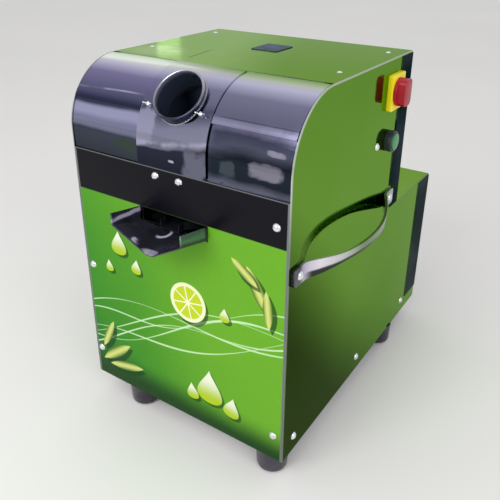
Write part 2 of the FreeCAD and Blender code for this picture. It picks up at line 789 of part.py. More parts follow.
def pin_place(name, left, heading, leave, lean, start, end):
    """One pin: clockwise round the big sprocket, down the run, round the small one and back."""
    big, small, step = number("big_teeth"), number("small_teeth"), number("chain_pitch")
    enter = heading - math.pi / 2 + lean
    if name == "big":
        angle, centre, radius = enter - left * 2 * math.pi / big, start, pitch_radius(big)
    elif name == "run":
        angle, centre, radius = leave, start, pitch_radius(big)
    elif name == "small":
        angle, centre, radius = leave - left * 2 * math.pi / small, end, pitch_radius(small)
    else:
        angle, centre, radius = enter, end, pitch_radius(small)
    place = centre + Vector(0, math.cos(angle), math.sin(angle)) * radius
    if name == "run":
        place += Vector(0, math.sin(leave), -math.cos(leave)) * (left * step)
    if name == "back":
        place += Vector(0, math.sin(enter), -math.cos(enter)) * (left * step)
    return place


def sprocket(teeth, phase, wide):
    """Sprocket blank with round roller seats; a seat is centred on the phase angle."""
    pitch, seat = pitch_radius(teeth), 6.25
    tip = pitch + 3.6
    edges = []

    def at(radius, angle):
        return Vector(0, radius * math.cos(angle), radius * math.sin(angle))

    for k in range(teeth):
        middle = phase + 2 * math.pi * k / teeth
        centre = at(pitch, middle)
        out, side = at(1, middle), at(1, middle + math.pi / 2)
        low = centre - side * seat * 0.94 - out * seat * 0.34
        high = centre + side * seat * 0.94 - out * seat * 0.34
        crest = 0.2 * math.pi / teeth
        tip_a = at(tip, middle + math.pi / teeth - crest)
        tip_b = at(tip, middle + math.pi / teeth + crest)
        after = middle + 2 * math.pi / teeth
        centre_b, out_b, side_b = at(pitch, after), at(1, after), at(1, after + math.pi / 2)
        low_b = centre_b - side_b * seat * 0.94 - out_b * seat * 0.34
        edges += [Part.Arc(low, centre - out * seat, high), Part.LineSegment(high, tip_a),
                  Part.LineSegment(tip_a, tip_b), Part.LineSegment(tip_b, low_b)]
    wire = Part.Wire([edge.toShape() for edge in edges])
    solid = Part.Face(wire).extrude(Vector(wide, 0, 0))
    solid.translate(Vector(-wide / 2, 0, 0))
    return solid


def make_drive():
    """Sprockets, output shaft and the roller chain between them."""
    pins, phase_big, phase_small = chain_path()
    wide, plane, shaft = 9.6, number("chain_plane"), number("shaft_radius")
    drill = Part.makeCylinder(shaft + 0.02, 80, Vector(-40, 0, 0), Vector(1, 0, 0))
    for label, teeth, phase, centre, hub in (
            ("driven_sprocket", int(number("big_teeth")), phase_big, PLACES["discharge"], 26),
            ("drive_sprocket", int(number("small_teeth")), phase_small, drive_centre(), 24)):
        boss = Part.makeCylinder(hub, 14, Vector(4.8, 0, 0), Vector(1, 0, 0))
        wheel = sprocket(teeth, phase, wide).fuse(boss).cut(drill)
        node(shaped(label, [wheel]), label, plane, centre.y, centre.z)
    centre = drive_centre()
    node(rod("drive_shaft", "shaft_radius", 34, plane - 12, centre.y, centre.z), "drive_shaft")
    make_chain(pins)


def make_chain(pins):
    """Roller chain: a loop of side plates on each side and a roller on every pin."""
    plane = number("chain_plane")
    shapes = []
    for side in (-1, 1):
        x = plane + side * 5.6 + (0 if side > 0 else -2)
        outer, inner = [], []
        for i, pin in enumerate(pins):
            run = pins[(i + 1) % len(pins)] - pins[i - 1]
            normal = Vector(0, run.z, -run.y).normalize() * 7.5
            outer.append(pin + normal + Vector(x, 0, 0))
            inner.append(pin - normal + Vector(x, 0, 0))
        band = polygon_face(outer).cut(polygon_face(inner))
        if band.Area < 100:
            band = polygon_face(inner).cut(polygon_face(outer))
        shapes.append(band.extrude(Vector(2, 0, 0)).Solids[0])
    for pin in pins:
        shapes.append(Part.makeCylinder(5.9, 11.0, pin + Vector(plane - 5.5, 0, 0), Vector(1, 0, 0)))
    node(shaped("drive_chain", shapes), "drive_chain")


def make_gearmotor():
    """Gearmotor on its rails: reducer housing, ribbed motor, fan cowl and terminal box."""
    centre = drive_centre()
    y, z = centre.y, centre.z
    body = padded("gearbox", "YZ_Plane", [rounded(y - 68, z - 70, y + 68, z + 70, 22)], 66, 22)
    pad(body, "YZ_Plane", [Circle(y, z, 34)], 5, 88, name="Boss")
    pad(body, "XY_Plane", [rectangle(24, y - 85, 84, y + 85)], 14, 28, name="Foot")
    pocket(body, "YZ_Plane", [Circle(y, z, 13)], 8, 93.5, name="ShaftHole")
    node(body, "gearbox")
    motor = padded("motor_body", "YZ_Plane", [Circle(0, 0, 64)], 168, -146)
    rib = pad(motor, "YZ_Plane", [rectangle(-1.2, 60, 1.2, 69.5)], 140, -132, name="Rib")
    repeat(motor, "PolarPattern", rib, Axis=(rib.Profile[0], ["N_Axis"]), Angle=360, Occurrences=24)
    node(motor, "motor_body", 0, y, z)
    cowl = padded("fan_cowl", "YZ_Plane", [Circle(0, 0, 69.5)], 40, -186.3)
    slot = pocket(cowl, "YZ_Plane", [rectangle(14, -2.5, 56, 2.5)], 5, -186.4, True, "Grille")
    repeat(cowl, "PolarPattern", slot, Axis=(slot.Profile[0], ["N_Axis"]), Angle=360, Occurrences=12)
    node(cowl, "fan_cowl", 0, y, z)
    node(block("terminal_box", -90, -10, y - 32, y + 32, z + 69.8, z + 104), "terminal_box")


# ---------------------------------------------------------------- juice and bagasse
def tray_block(name, inset, floor, top):
    """Wedge with the plan of the tray: it narrows in front to pass the window of the panel."""
    wide, neck, back = 67 - inset, 18 - inset, 246 - inset
    front = -8 - inset
    plan = [(-wide, back), (-wide, 52 + inset * 0.4), (-neck, 4 + inset * 0.4), (-neck, front),
            (neck, front), (neck, 4 + inset * 0.4), (wide, 52 + inset * 0.4), (wide, back)]
    side = [(-12, floor), (250, floor + 11.3), (250, top + 11.3), (-12, top)]
    return common(name, padded(name + "_plan", "XY_Plane", [plan], 60, 340),
                  padded(name + "_side", "YZ_Plane", [side], 160, -80))


def make_tray():
    """Shallow tray under the rollers that falls towards the spout."""
    outer = tray_block("tray_outer", 0, 355.2, 368)
    inner = tray_block("tray_inner", 1.5, 356.7, 380)
    node(minus("juice_tray", outer, inner), "juice_tray")


def spout_profile(wide, top, knee, low, flat, middle=0):
    """Folded section of the spout: upright sides, then a floor that meets at the bottom."""
    t = 1.5
    lift = t * 1.25
    left, right = middle - flat, middle + flat
    outer = [(-wide, top), (-wide, knee), (left, low), (right, low), (wide, knee), (wide, top)]
    inner = [(wide - t, top), (wide - t, knee + t * 0.7), (right, low + lift), (left, low + lift),
             (-wide + t, knee + t * 0.7), (-wide + t, top)]
    return outer + inner


def make_spout():
    """Open spout folded from sheet: shallow at the panel, drawn to a point in front."""
    body = new_body("juice_spout")
    wide = size("spout_half")
    back = sketch_on(body, "XZ_Plane", [spout_profile(wide, 376, 354.2, 352, 20)], 0)
    front = sketch_on(body, "XZ_Plane", [spout_profile(wide, 387, 369, 339.5, 6, 5)], "spout_reach")
    loft = feature(body, "AdditiveLoft", "Fold", back, Sections=[front], Ruled=True)
    body.Tip = loft
    node(body, "juice_spout")


def make_feed_guide():
    """Fixed inlet behind the feed tube: a mouth plate between the cheeks and a tapering duct."""
    wide, mouth = number("cheek_inner") - 0.1, 58
    body = new_body("feed_guide")
    plate = sketch_on(body, "XY_Plane", [rectangle(-wide, -46, wide, 46)], mouth - 2)
    feature(body, "Pad", "Mouth", plate, Length=2)
    outer = [rectangle(-44, -41, 44, 41), rectangle(-44, -21, 44, 21)]
    inner = [rectangle(-42.5, -39.5, 42.5, 39.5), rectangle(-42.5, -19.5, 42.5, 19.5)]
    for kind, name, (top, bottom), over in (("AdditiveLoft", "Duct", outer, 0),
                                            ("SubtractiveLoft", "DuctBore", inner, 0.5)):
        start = sketch_on(body, "XY_Plane", [top], mouth - 2)
        end = sketch_on(body, "XY_Plane", [bottom], 3 - over)
        feature(body, kind, name, start, Sections=[end], Ruled=True)
    pocket(body, "XY_Plane", [Circle(0, 0, 39)], 6, mouth + 1, name="MouthHole")
    body.Placement = Placement(tube_start(), duct_turn())
    node(body, "feed_guide", *tube_start())


def duct_turn():
    """Turn that keeps X and brings local Z onto the axis of the feed tube."""
    axis = tube_axis()
    return Rotation(Vector(1, 0, 0), axis.cross(Vector(1, 0, 0)), axis, "ZXY")


def make_bagasse_guides():
    """Turn plate between the lower rollers, slide to the rear window and the chute outside."""
    feed, discharge = PLACES["feed"], PLACES["discharge"]
    middle, along = (feed + discharge) / 2, (discharge - feed).normalize()
    up = Vector(0, -along.z, along.y)
    wide = number("cheek_inner")
    section = [(-4.5, -20), (4.5, -20), (5, 0), (6.5, 12), (12, 22), (0, 20.5), (-12, 22), (-6.5, 12), (-5, 0)]
    points = [middle + along * u + up * v for u, v in section]
    body = padded("turn_plate", "YZ_Plane", [[(p.y, p.z) for p in points]], 2 * wide, -wide)
    node(body, "turn_plate")
    slide_top = [(217.2, 432.4), (392, 402)]
    (y0, z0), (y1, z1) = slide_top
    slide = [(y0, z0), (y1, z1), (y1, z1 + 2), (y0 + 0.6, z0 + 2)]
    body = padded("bagasse_slide", "YZ_Plane", [slide], 2 * wide - 1, -wide + 0.5)
    for side in (-1, 1):
        start = side * (wide - 0.5) - (1.5 if side > 0 else 0)
        wing = [(252, 425), (y1, z1), (y1, z1 + 60), (252, 478)]
        pad(body, "YZ_Plane", [wing], 1.5, start, name="Wing")
    node(body, "bagasse_slide")
    wide, t = 84, 1.5
    back = number(depth) + 1.2
    section = [(back, 396), (602, 318), (602, 318 + t), (back, 396 + t * 1.1)]
    chute = padded("bagasse_chute", "YZ_Plane", [section], 2 * wide, -wide)
    for side in (-1, 1):
        start = side * wide - (t if side > 0 else 0)
        cheek = [(back, 396), (602, 318), (602, 360), (500, 440), (back, 506)]
        pad(chute, "YZ_Plane", [cheek], t, start, name="Cheek")
        turn = rectangle(back, 396, back + t, 506)
        low, high = sorted((side * wide, side * (wide + 14)))
        pad(chute, "YZ_Plane", [turn], high - low, low, name="Flange")
    node(chute, "bagasse_chute")


# ---------------------------------------------------------------- controls
def make_controls():
    """Rotary isolator with its knob, and the start button, on the right side."""
    y, z = number("switch_back"), number("switch_up")
    face = number(half)
    plate = padded("isolator_plate", "YZ_Plane", [rounded(y - 26, z - 29, y + 26, z + 29, 4)], 8, face)
    pocket(plate, "YZ_Plane", [Circle(y, z, 3.05)], 9, face + 8.5, name="SpindleHole")
    node(plate, "isolator_plate")
    block_ = padded("isolator_body", "YZ_Plane", [rounded(y - 21, z - 21, y + 21, z + 21, 3)], 48, face - 49.6)
    pad(block_, "YZ_Plane", [Circle(y, z, 10)], 1.6, face - 1.6, name="Neck")
    pocket(block_, "YZ_Plane", [Circle(y, z, 3.05)], 12, face + 0.1, name="SpindleHole")
    node(block_, "isolator_body")
    knob = padded("isolator_knob", "YZ_Plane", [Circle(0, 0, 23)], 5, face + 8.3)
    pad(knob, "YZ_Plane", [rounded(-15, -21.5, 15, 21.5, 9)], 11.5, face + 13, name="Grip")
    pad(knob, "YZ_Plane", [Circle(0, 0, 3)], 17, face - 8.5, name="Spindle")
    node(knob, "isolator_knob", 0, y, z)
    y, z = number("button_back"), number("button_up")
    collar = padded("button_collar", "YZ_Plane", [Circle(y, z, 18)], 12, face)
    pocket(collar, "YZ_Plane", [Circle(y, z, 14.3)], 8, face + 12.1, name="Bore")
    pocket(collar, "YZ_Plane", [Circle(y, z, 5.35)], 14, face + 12.1, name="PlungerHole")
    node(collar, "button_collar")
    contacts = padded("button_contacts", "YZ_Plane", [rounded(y - 15, z - 20, y + 15, z + 20, 3)], 36, face - 37.6)
    pad(contacts, "YZ_Plane", [Circle(y, z, 11)], 1.6, face - 1.6, name="Neck")
    pocket(contacts, "YZ_Plane", [Circle(y, z, 5.35)], 12, face + 0.1, name="PlungerHole")
    node(contacts, "button_contacts")
    button = padded("start_button", "YZ_Plane", [Circle(0, 0, 14)], 6, face + 8.6)
    pad(button, "YZ_Plane", [Circle(0, 0, 5)], 14, face - 5, name="Plunger")
    node(button, "start_button", 0, y, z)


# ---------------------------------------------------------------- carry handles
def make_handle(label, side):
    """Bow handle: a flat bar bent to an arc between two flat ends, narrower in the grip."""
    thick, bow = number("handle_thick"), number("handle_bow")
    front, back, z = number("handle_front"), number("handle_back"), number("handle_up")
    face = number(half)
    toe = 34
    y0, y1 = front + toe, back - toe
    chord = y1 - y0
    inner = (chord ** 2 / 4 + bow ** 2) / (2 * bow)
    outer = inner + thick
    centre_x = face - (inner - bow)
    reach = math.sqrt(outer ** 2 - (face + thick - centre_x) ** 2)
    middle = (y0 + y1) / 2
    ccw = side > 0

    def at(x, y):
        return (side * x, y)

    path = [at(face, front), at(face + thick, front), at(face + thick, middle - reach), Arc(outer, ccw),
            at(face + thick, middle + reach), at(face + thick, back), at(face, back), at(face, y1),
            Arc(inner, not ccw), at(face, y0)]
    wide, narrow = number("handle_wide") / 2, number("handle_narrow") / 2
    body = padded(label + "_bar", "XY_Plane", [path], 2 * wide, z - wide)
    waist = [(y0 - 4, z + wide), (middle - 60, z + narrow), (middle + 60, z + narrow), (y1 + 4, z + wide),
             (y1 + 4, z + wide + 6), (y0 - 4, z + wide + 6)]
    low = [(u, 2 * z - v) for u, v in reversed(waist)]
    start = max(side * face, side * (face + 60)) + 1
    pocket(body, "YZ_Plane", [waist, low], 90, start, name="Waist")
    for y in (front + 16, back - 14):
        pocket(body, "YZ_Plane", [Circle(y, z, 4.3)], 90, start, name="BoltHole")
    node(body, label)


# ---------------------------------------------------------------- fasteners and small fittings
def dome(at, out, radius=None, tall=None):
    """Domed bolt head that sits on a face."""
    r = radius or number("dome_radius")
    tall = tall or number("dome_height")
    ball = (r * r + tall * tall) / (2 * tall)
    angle = math.asin(r / ball) / 2
    middle = Vector(ball * math.sin(angle), 0, ball * math.cos(angle) - ball + tall)
    edges = [Part.LineSegment(Vector(0, 0, 0), Vector(r, 0, 0)), Part.Arc(Vector(r, 0, 0), middle, Vector(0, 0, tall)),
             Part.LineSegment(Vector(0, 0, tall), Vector(0, 0, 0))]
    head = Part.Face(Part.Wire([e.toShape() for e in edges])).revolve(Vector(), Vector(0, 0, 1), 360)
    head.Placement = Placement(Vector(*at), Rotation(Vector(0, 0, 1), out))
    return head


SIDE_BOLTS = ((34, 28), (270, 29), (498, 30), (275, 444))


def make_bolts():
    face = number(half)
    front = Vector(0, -1, 0)
    spots = [(-186, 234), (-188, 57), (179, 407), (182, 46), (-30, 433), (14, 433)]
    heads = [dome((x, 0, z), front) for x, z in spots]
    for side in (-1, 1):
        heads += [dome((side * face, y, z), Vector(side, 0, 0)) for y, z in SIDE_BOLTS]
    node(shaped("dome_bolts", heads), "dome_bolts")
    ends = (number("handle_front") + 16, number("handle_back") - 14)
    out = face + number("handle_thick")
    heads = [dome((side * out, y, number("handle_up")), Vector(side, 0, 0), 7, 4.5)
             for side in (-1, 1) for y in ends]
    node(shaped("handle_bolts", heads), "handle_bolts")
    tops = [(side * 175, y, number(height)) for side in (-1, 1) for y in (170, 350)]
    heads = [dome(spot, Vector(0, 0, 1), 4, 2.2) for spot in tops]
    heads += [dome((side * 182, 440, number(box_height)), Vector(0, 0, 1), 4, 2.2) for side in (-1, 1)]
    node(shaped("top_screws", heads), "top_screws")


def make_fittings():
    """Bare plate on the top and the cable gland on the rear cover."""
    plate = padded("top_plate", "XY_Plane", [rounded(-27, 248, 23, 304, 3)], 1.2, height)
    node(plate, "top_plate")
    start = number(full_depth) + 1.2
    hexagon = [(-150 + 13 * math.cos(k * math.pi / 3), 60 + 13 * math.sin(k * math.pi / 3)) for k in range(6)]
    gland = padded("cable_gland", "XZ_Plane", [hexagon], 6, -start, True)
    pad(gland, "XZ_Plane", [Circle(-150, 60, 10)], 13, -start - 6, True, name="Cap")
    pocket(gland, "XZ_Plane", [Circle(-150, 60, 4.5)], 16, -start - 3, name="Bore")
    node(gland, "cable_gland")


# ---------------------------------------------------------------- build, check and write
def make_all():
    y, z = number("switch_back"), number("switch_up")
    by, bz = number("button_back"), number("button_up")
    make_side("side_panel_right", inside, [Circle(y, z, 11), Circle(by, bz, 12)])
    make_side("side_panel_left", -half, [])
    make_top()
    make_front_panel()
    make_plain_panel()
    make_hood()
    make_feed_plate()
    make_feed_tube()
    make_rear_cover()
    make_motor_box()
    make_base()
    make_feet()
    make_hinge()
    make_thumb_screws()
    thick = number("cheek_thick")
    make_cheek("cheek_right", size("cheek_inner"))
    make_cheek("cheek_left", -size("cheek_inner") - thick)
    make_tie_bars()
    make_bushes()
    make_roller("top", 90)
    make_roller("feed", 90)
    make_roller("discharge", 128)
    make_gears()
    make_drive()
    make_gearmotor()
    make_tray()
    make_spout()
    make_feed_guide()
    make_bagasse_guides()
    make_controls()
    make_handle("handle_right", 1)
    make_handle("handle_left", -1)
    make_bolts()
    make_fittings()


def check():
    """Stop on a failed object, a null or broken shape, or a cut that removes nothing."""
    for obj in doc.Objects:
        if any(word in state for state in obj.State for word in ("Invalid", "Error")):
            raise RuntimeError(f"{obj.Label} failed: {obj.State}")
        if obj.TypeId in ("PartDesign::Pocket", "PartDesign::Groove"):
            removed = obj.BaseFeature.Shape.Volume - obj.Shape.Volume
            if removed < 0.01:
                raise RuntimeError(f"{obj.Label} of {obj.getParent().Label} cuts nothing")
    for obj in nodes:
        if obj.Shape.isNull() or not obj.Shape.isValid() or not obj.Shape.Solids:
            raise RuntimeError(f"{obj.Label} has no valid solid")


def write():
    os.makedirs("parts", exist_ok=True)
    for obj in nodes:
        obj.Shape.exportStep(f"parts/{obj.Label}.step")


make_all()
doc.recompute()
check()
write()
box = Part.makeCompound([obj.Shape for obj in nodes]).BoundBox
print(f"{len(nodes)} nodes, {sum(len(obj.Shape.Solids) for obj in nodes)} solids")
print(f"box x {box.XMin:.1f} {box.XMax:.1f}  y {box.YMin:.1f} {box.YMax:.1f}  z {box.ZMin:.1f} {box.ZMax:.1f}")
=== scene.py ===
# %% [markdown]
# # A countertop sugarcane juicer, dressed for its picture
# The machine itself comes in as solids: a sheet-metal cabinet, the crusher inside it and the
# gearmotor behind. This lesson gives every solid a finish that is worked out with shader nodes,
# and rebuilds the pieces that need softer edges than a solid has, such as the bowed handles,
# the feed tube's rolled rim and the folded spout.

# %% Load the machine
import json
import math

import bmesh
import bpy
import numpy as np
from mathutils import Matrix, Vector


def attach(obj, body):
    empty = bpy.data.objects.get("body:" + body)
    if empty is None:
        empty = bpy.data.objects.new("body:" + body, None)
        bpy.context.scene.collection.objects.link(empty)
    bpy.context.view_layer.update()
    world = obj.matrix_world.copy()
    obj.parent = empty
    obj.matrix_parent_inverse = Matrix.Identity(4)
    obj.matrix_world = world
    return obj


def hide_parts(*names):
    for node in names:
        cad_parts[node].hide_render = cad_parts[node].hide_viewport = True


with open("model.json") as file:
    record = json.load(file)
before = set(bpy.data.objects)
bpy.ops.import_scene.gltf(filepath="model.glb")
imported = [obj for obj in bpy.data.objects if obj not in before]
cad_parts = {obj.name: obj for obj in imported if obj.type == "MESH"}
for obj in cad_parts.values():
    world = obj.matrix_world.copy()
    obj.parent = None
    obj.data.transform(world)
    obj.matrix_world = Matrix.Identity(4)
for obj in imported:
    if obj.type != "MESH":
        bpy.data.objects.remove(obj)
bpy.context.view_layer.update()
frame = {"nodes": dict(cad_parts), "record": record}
nodes = frame["nodes"]

# %% [markdown]
# ## Working in the cabinet's own millimetres
# The cabinet was drawn from its front lower edge: x across, y backwards from the front sheet, z up
# from the underside. The scene stands on the floor instead, in metres. One small function goes from
# the first to the second, so every size below can be read straight off the machine.

# %% From cabinet millimetres to scene metres
FRONT, UNDERSIDE = -270.5, 42.0


def place(x, y, z):
    """Point or array of points: add the front's y and the underside's z, then divide by 1000."""
    x, y, z = np.broadcast_arrays(x, y, z)
    return np.stack([x, y + FRONT, z + UNDERSIDE], axis=-1) / 1000.0


print("front lower edge of the cabinet is at", place(0, 0, 0))

# %% [markdown]
# ## Camera
# The picture looks down on the machine from its right front corner. A camera is a position and
# three directions. They are worked out from an azimuth, an elevation and a small roll, because
# these three angles can be read off the way the cabinet's edges lean.

# %% Camera
AZIMUTH, ELEVATION, ROLL = (math.radians(a) for a in (33.42, 24.58, 0.34))
IMAGE, FOCAL_PIXELS, CENTRE_ROW = 500, 611.7, 205

ahead = Vector((-math.sin(AZIMUTH) * math.cos(ELEVATION), math.cos(AZIMUTH) * math.cos(ELEVATION),
                -math.sin(ELEVATION)))
level = Vector((math.cos(AZIMUTH), math.sin(AZIMUTH), 0))
upright = level.cross(ahead)
right = math.cos(ROLL) * level + math.sin(ROLL) * upright
up = math.cos(ROLL) * upright - math.sin(ROLL) * level

camera = bpy.data.objects.new("camera", bpy.data.cameras.new("camera"))
bpy.context.scene.collection.objects.link(camera)
turn = Matrix((right, up, -ahead)).transposed().to_4x4()
camera.matrix_world = Matrix.Translation(Vector(place(545, -618, 768))) @ turn
camera.data.sensor_width = 36
camera.data.lens = FOCAL_PIXELS / IMAGE * 36
camera.data.shift_y = (CENTRE_ROW - IMAGE / 2) / IMAGE
camera.data.clip_start, camera.data.clip_end = 0.05, 50
bpy.context.scene.camera = camera
print("lens", round(camera.data.lens, 2), "mm, shift", camera.data.shift_y)

# %% [markdown]
# ## Shader helpers
# A finish is a formula over the surface. Written node by node it is hard to read, so a small class
# stands for "a value that varies over the surface". Adding or multiplying two of them adds the Math
# node that does it, and the formula reads like any other line of Python.

# %% A value that varies over a surface


class Field:
    """A shader value; arithmetic on it adds Math nodes to its material."""

    def __init__(self, finish, socket):
        self.finish, self.socket = finish, socket

    def math(self, operation, *others):
        node = self.finish.add("ShaderNodeMath", operation=operation)
        for socket, value in zip(node.inputs, (self, *others)):
            self.finish.feed(socket, value)
        return Field(self.finish, node.outputs[0])

    def __add__(self, other):
        return self.math("ADD", other)

    def __sub__(self, other):
        return self.math("SUBTRACT", other)

    def __mul__(self, other):
        return self.math("MULTIPLY", other)

    def __truediv__(self, other):
        return self.math("DIVIDE", other)

    def __abs__(self):
        return self.math("ABSOLUTE")

    def between(self, low, high):
        """0 at low, 1 at high, and a smooth S-shaped step from one to the other."""
        node = self.finish.add("ShaderNodeMapRange", interpolation_type="SMOOTHSTEP")
        for name, value in (("Value", self), ("From Min", low), ("From Max", high)):
            self.finish.feed(node.inputs[name], value)
        return Field(self.finish, node.outputs["Result"])


# %% One finish


def colour(red, painted_green_reflection, blue):
    """Screen colour 0-255 to the linear values that a shader works with."""
    c = np.array([red, painted_green_reflection, blue]) / 255.0
    return (*np.where(c <= 0.04045, c / 12.92, ((c + 0.055) / 1.055) ** 2.4).tolist(), 1.0)


finishes = {}


class Finish:
    """A material with one Principled shader, and the nodes that feed it, kept under its name."""

    def __init__(self, name, **shader):
        material = finishes[name] = bpy.data.materials.new(name)
        material.use_nodes = True
        self.tree = material.node_tree
        self.shader = self.tree.nodes["Principled BSDF"]
        self.place = self.add("ShaderNodeTexCoord").outputs["Object"]
        for name, value in shader.items():
            self.feed(self.shader.inputs[name.replace("_", " ")], value)

    def add(self, kind, **settings):
        node = self.tree.nodes.new(kind)
        for name, value in settings.items():
            setattr(node, name, value)
        return node

    def feed(self, socket, value):
        """Link a field or a socket to an input, or write a plain value into it."""
        value = value.socket if isinstance(value, Field) else value
        if isinstance(value, bpy.types.NodeSocket):
            self.tree.links.new(value, socket)
        else:
            socket.default_value = value

    def axes(self):
        """The three coordinates in cabinet millimetres, each as a field."""
        node = self.add("ShaderNodeSeparateXYZ")
        self.feed(node.inputs[0], self.place)
        x, y, z = (Field(self, out) * 1000.0 for out in node.outputs)
        return x, y - FRONT, z - UNDERSIDE

    def noise(self, scale, detail, stretch=(1, 1, 1)):
        """Smooth noise around 0.5; the stretch says how much finer it is along each axis."""
        mapping = self.add("ShaderNodeMapping")
        self.feed(mapping.inputs["Vector"], self.place)
        mapping.inputs["Scale"].default_value = stretch
        node = self.add("ShaderNodeTexNoise")
        self.feed(node.inputs["Vector"], mapping.outputs[0])
        node.inputs["Scale"].default_value = scale
        node.inputs["Detail"].default_value = detail
        return Field(self, node.outputs["Fac"])

    def mix(self, factor, first, second):
        """Colour that goes from the first to the second as the factor goes from 0 to 1."""
        node = self.add("ShaderNodeMix", data_type="RGBA")
        for number, value in ((0, factor), (6, first), (7, second)):
            self.feed(node.inputs[number], value)
        return node.outputs[2]

    def ramp(self, value, stops):
        """Colour that runs through a list of (value, colour) stops, in rising order."""
        low, high = stops[0][0], stops[-1][0]
        node = self.add("ShaderNodeValToRGB")
        self.feed(node.inputs[0], (value - low) * (1.0 / (high - low)))
        dots = node.color_ramp.elements
        for i, (at, tone) in enumerate(stops):
            dot = dots[i] if i < 2 else dots.new(1.0)
            dot.position, dot.color = (at - low) / (high - low), tone
        return node.outputs[0]

    def bump(self, height, depth):
        """Tilt the surface as if the height field stood that many metres proud."""
        node = self.add("ShaderNodeBump")
        self.feed(node.inputs["Height"], height)
        node.inputs["Distance"].default_value = depth
        node.inputs["Strength"].default_value = 1.0
        before = self.shader.inputs["Normal"]
        if before.is_linked:
            self.feed(node.inputs["Normal"], before.links[0].from_socket)
        self.feed(before, node.outputs[0])

    def paint(self, base):
        self.feed(self.shader.inputs["Base Color"], base)

    def facing(self, axis):
        """Part of the outward direction that lies along x, y or z (axis 0, 1 or 2), from -1 to 1."""
        parts = self.add("ShaderNodeSeparateXYZ")
        self.feed(parts.inputs[0], self.add("ShaderNodeNewGeometry").outputs["True Normal"])
        return Field(self, parts.outputs[axis])

    def gloss(self, low, high):
        """Roughness that wanders between two values, as wiping and handling leave it."""
        patches = self.noise(25.0, 4.0).between(0.3, 0.7)
        self.feed(self.shader.inputs["Roughness"], patches * (high - low) + low)


print("helpers ready")

# %% [markdown]
# ## Polished steel
# The chute, the covers at the back and the fittings are polished stainless sheet. Real thin sheet
# is never flat: it waves by hundredths of a millimetre, and its reflections swim. So the finish is
# a metal of two tones that drift into each other, with a long slow bump for the waves, a fine one
# for wiping marks, and a roughness that wanders.

# %% Polished steel


def drifting(finish):
    """0 to 1 in long level patches: where a sheet shows its second tone."""
    return finish.noise(5.0, 2.0, stretch=(1, 1, 2.2)).between(0.4, 0.6)


def polished(name, dark, light, waves, rough):
    """Metal of two tones; the waves are in metres from trough to crest."""
    finish = Finish(name, Metallic=1.0)
    finish.paint(finish.mix(drifting(finish), dark, light))
    finish.gloss(*rough)
    finish.bump(finish.noise(7.0, 1.0), waves)
    finish.bump(finish.noise(90.0, 5.0, stretch=(1, 1, 6)), 0.00005)


def cover_steel():
    """Mirror sheet with a painted dark reflection on the flanges, which look sideways into the dark."""
    finish = Finish("cover_steel", Metallic=1.0, Specular_Tint=(0.4, 0.43, 0.42, 1.0))
    tone = drifting(finish)
    back = finish.mix(tone, colour(98, 100, 110), colour(140, 142, 152))
    # Painted dark reflection on the flanges that face sideways.
    painted_dark_flange = finish.mix(tone, colour(44, 49, 56), colour(70, 75, 84))
    sideways = abs(finish.facing(0)).between(0.5, 0.9)
    finish.paint(finish.mix(sideways, back, painted_dark_flange))
    finish.gloss(0.05, 0.14)
    finish.bump(finish.noise(7.0, 1.0), 0.0016)


cover_steel()
# Mirror steel is painted in dark lavender greys, a painted reflection of a dim room.
polished("mirror_steel", colour(84, 82, 100), colour(150, 148, 172), 0.002, (0.05, 0.14))
polished("bare_steel", colour(156, 156, 164), colour(184, 184, 192), 0.0008, (0.2, 0.34))
print("polished finishes:", sorted(finishes))

# %% [markdown]
# ## Rolled hood
# The hood is a quarter of a cylinder. A mirror bent like that gathers everything above it into a
# bright band along its top, and shows the dim room in front of it lower down. These reflections
# are painted: the colour follows the angle round the roll, nearly white under the seam, then
# lavender, then purple grey, and last the folded hem, whose two bent edges are painted as a pale
# streak and a dark line.

# %% Rolled hood
NOSE_Y, NOSE_Z, NOSE_R = 105.0, 475.0, 105.0
# Painted reflection tones by angle round the roll in degrees, for the left and right halves.
HOOD_LEFT = [(25, colour(36, 40, 60)), (31, colour(54, 56, 82)), (36, colour(90, 90, 122)),
             (56, colour(132, 126, 166)), (66, colour(198, 194, 222)), (76, colour(242, 248, 238)),
             (90, colour(206, 236, 188))]
HOOD_RIGHT = [(25, colour(104, 104, 130)), (31, colour(156, 154, 184)), (37, colour(110, 110, 136)),
              (55, colour(130, 130, 158)), (69, colour(204, 202, 230)), (76, colour(204, 210, 200)),
              (83, colour(160, 198, 114)), (88, colour(112, 156, 72))]


def round_nose(y, z):
    """Angle up from straight ahead, in degrees = arctangent of height over reach."""
    return (z - NOSE_Z).math("ARCTAN2", (y - NOSE_Y) * -1.0) * (180 / math.pi)


def rolled_tones(finish, x, angle):
    """Painted reflection tones round the roll, the left half's list passing into the right half's."""
    left, right = finish.ramp(angle, HOOD_LEFT), finish.ramp(angle, HOOD_RIGHT)
    return finish.mix(x.between(-70, 70), left, right)


def rolled():
    """Painted reflections: the hood's tones, a broken pale streak on its left and a dark line on its
    right, over the hem.
    """
    finish = Finish("hood_steel", Metallic=1.0, Specular_Tint=(0.8, 0.8, 0.8, 1.0))
    x, y, z = finish.axes()
    angle = round_nose(y, z)
    sway = (finish.noise(5.0, 1.0, stretch=(1, 0.2, 0.2)) - 0.5) * 6.0
    base = rolled_tones(finish, x, angle + sway * angle.between(40, 52))
    # Painted pale highlight streak on the left, broken up by noise.
    painted_pale_streak = abs(angle + (x * 0.021).math("SINE") * 1.2 + sway * 0.3 - 39.5).between(1.3, 0.2)
    broken = finish.noise(16.0, 2.0, stretch=(1, 0.3, 0.3)).between(0.35, 0.6)
    painted_pale_streak = painted_pale_streak * x.between(-40, -110) * broken
    base = finish.mix(painted_pale_streak * 0.8, base, colour(190, 186, 216))
    # Painted dark line on the right.
    line = abs(angle + sway * 0.3 - 35.5).between(1.0, 0.2) * x.between(40, 100)
    base = finish.mix(line * 0.7, base, colour(70, 68, 92))
    finish.paint(base)
    finish.gloss(0.07, 0.17)
    finish.bump(finish.noise(5.0, 1.0, stretch=(1.6, 0.6, 0.6)), 0.0009)
    finish.bump(finish.noise(120.0, 4.0, stretch=(0.2, 1, 1)), 0.00004)


rolled()
print("hood finish made")
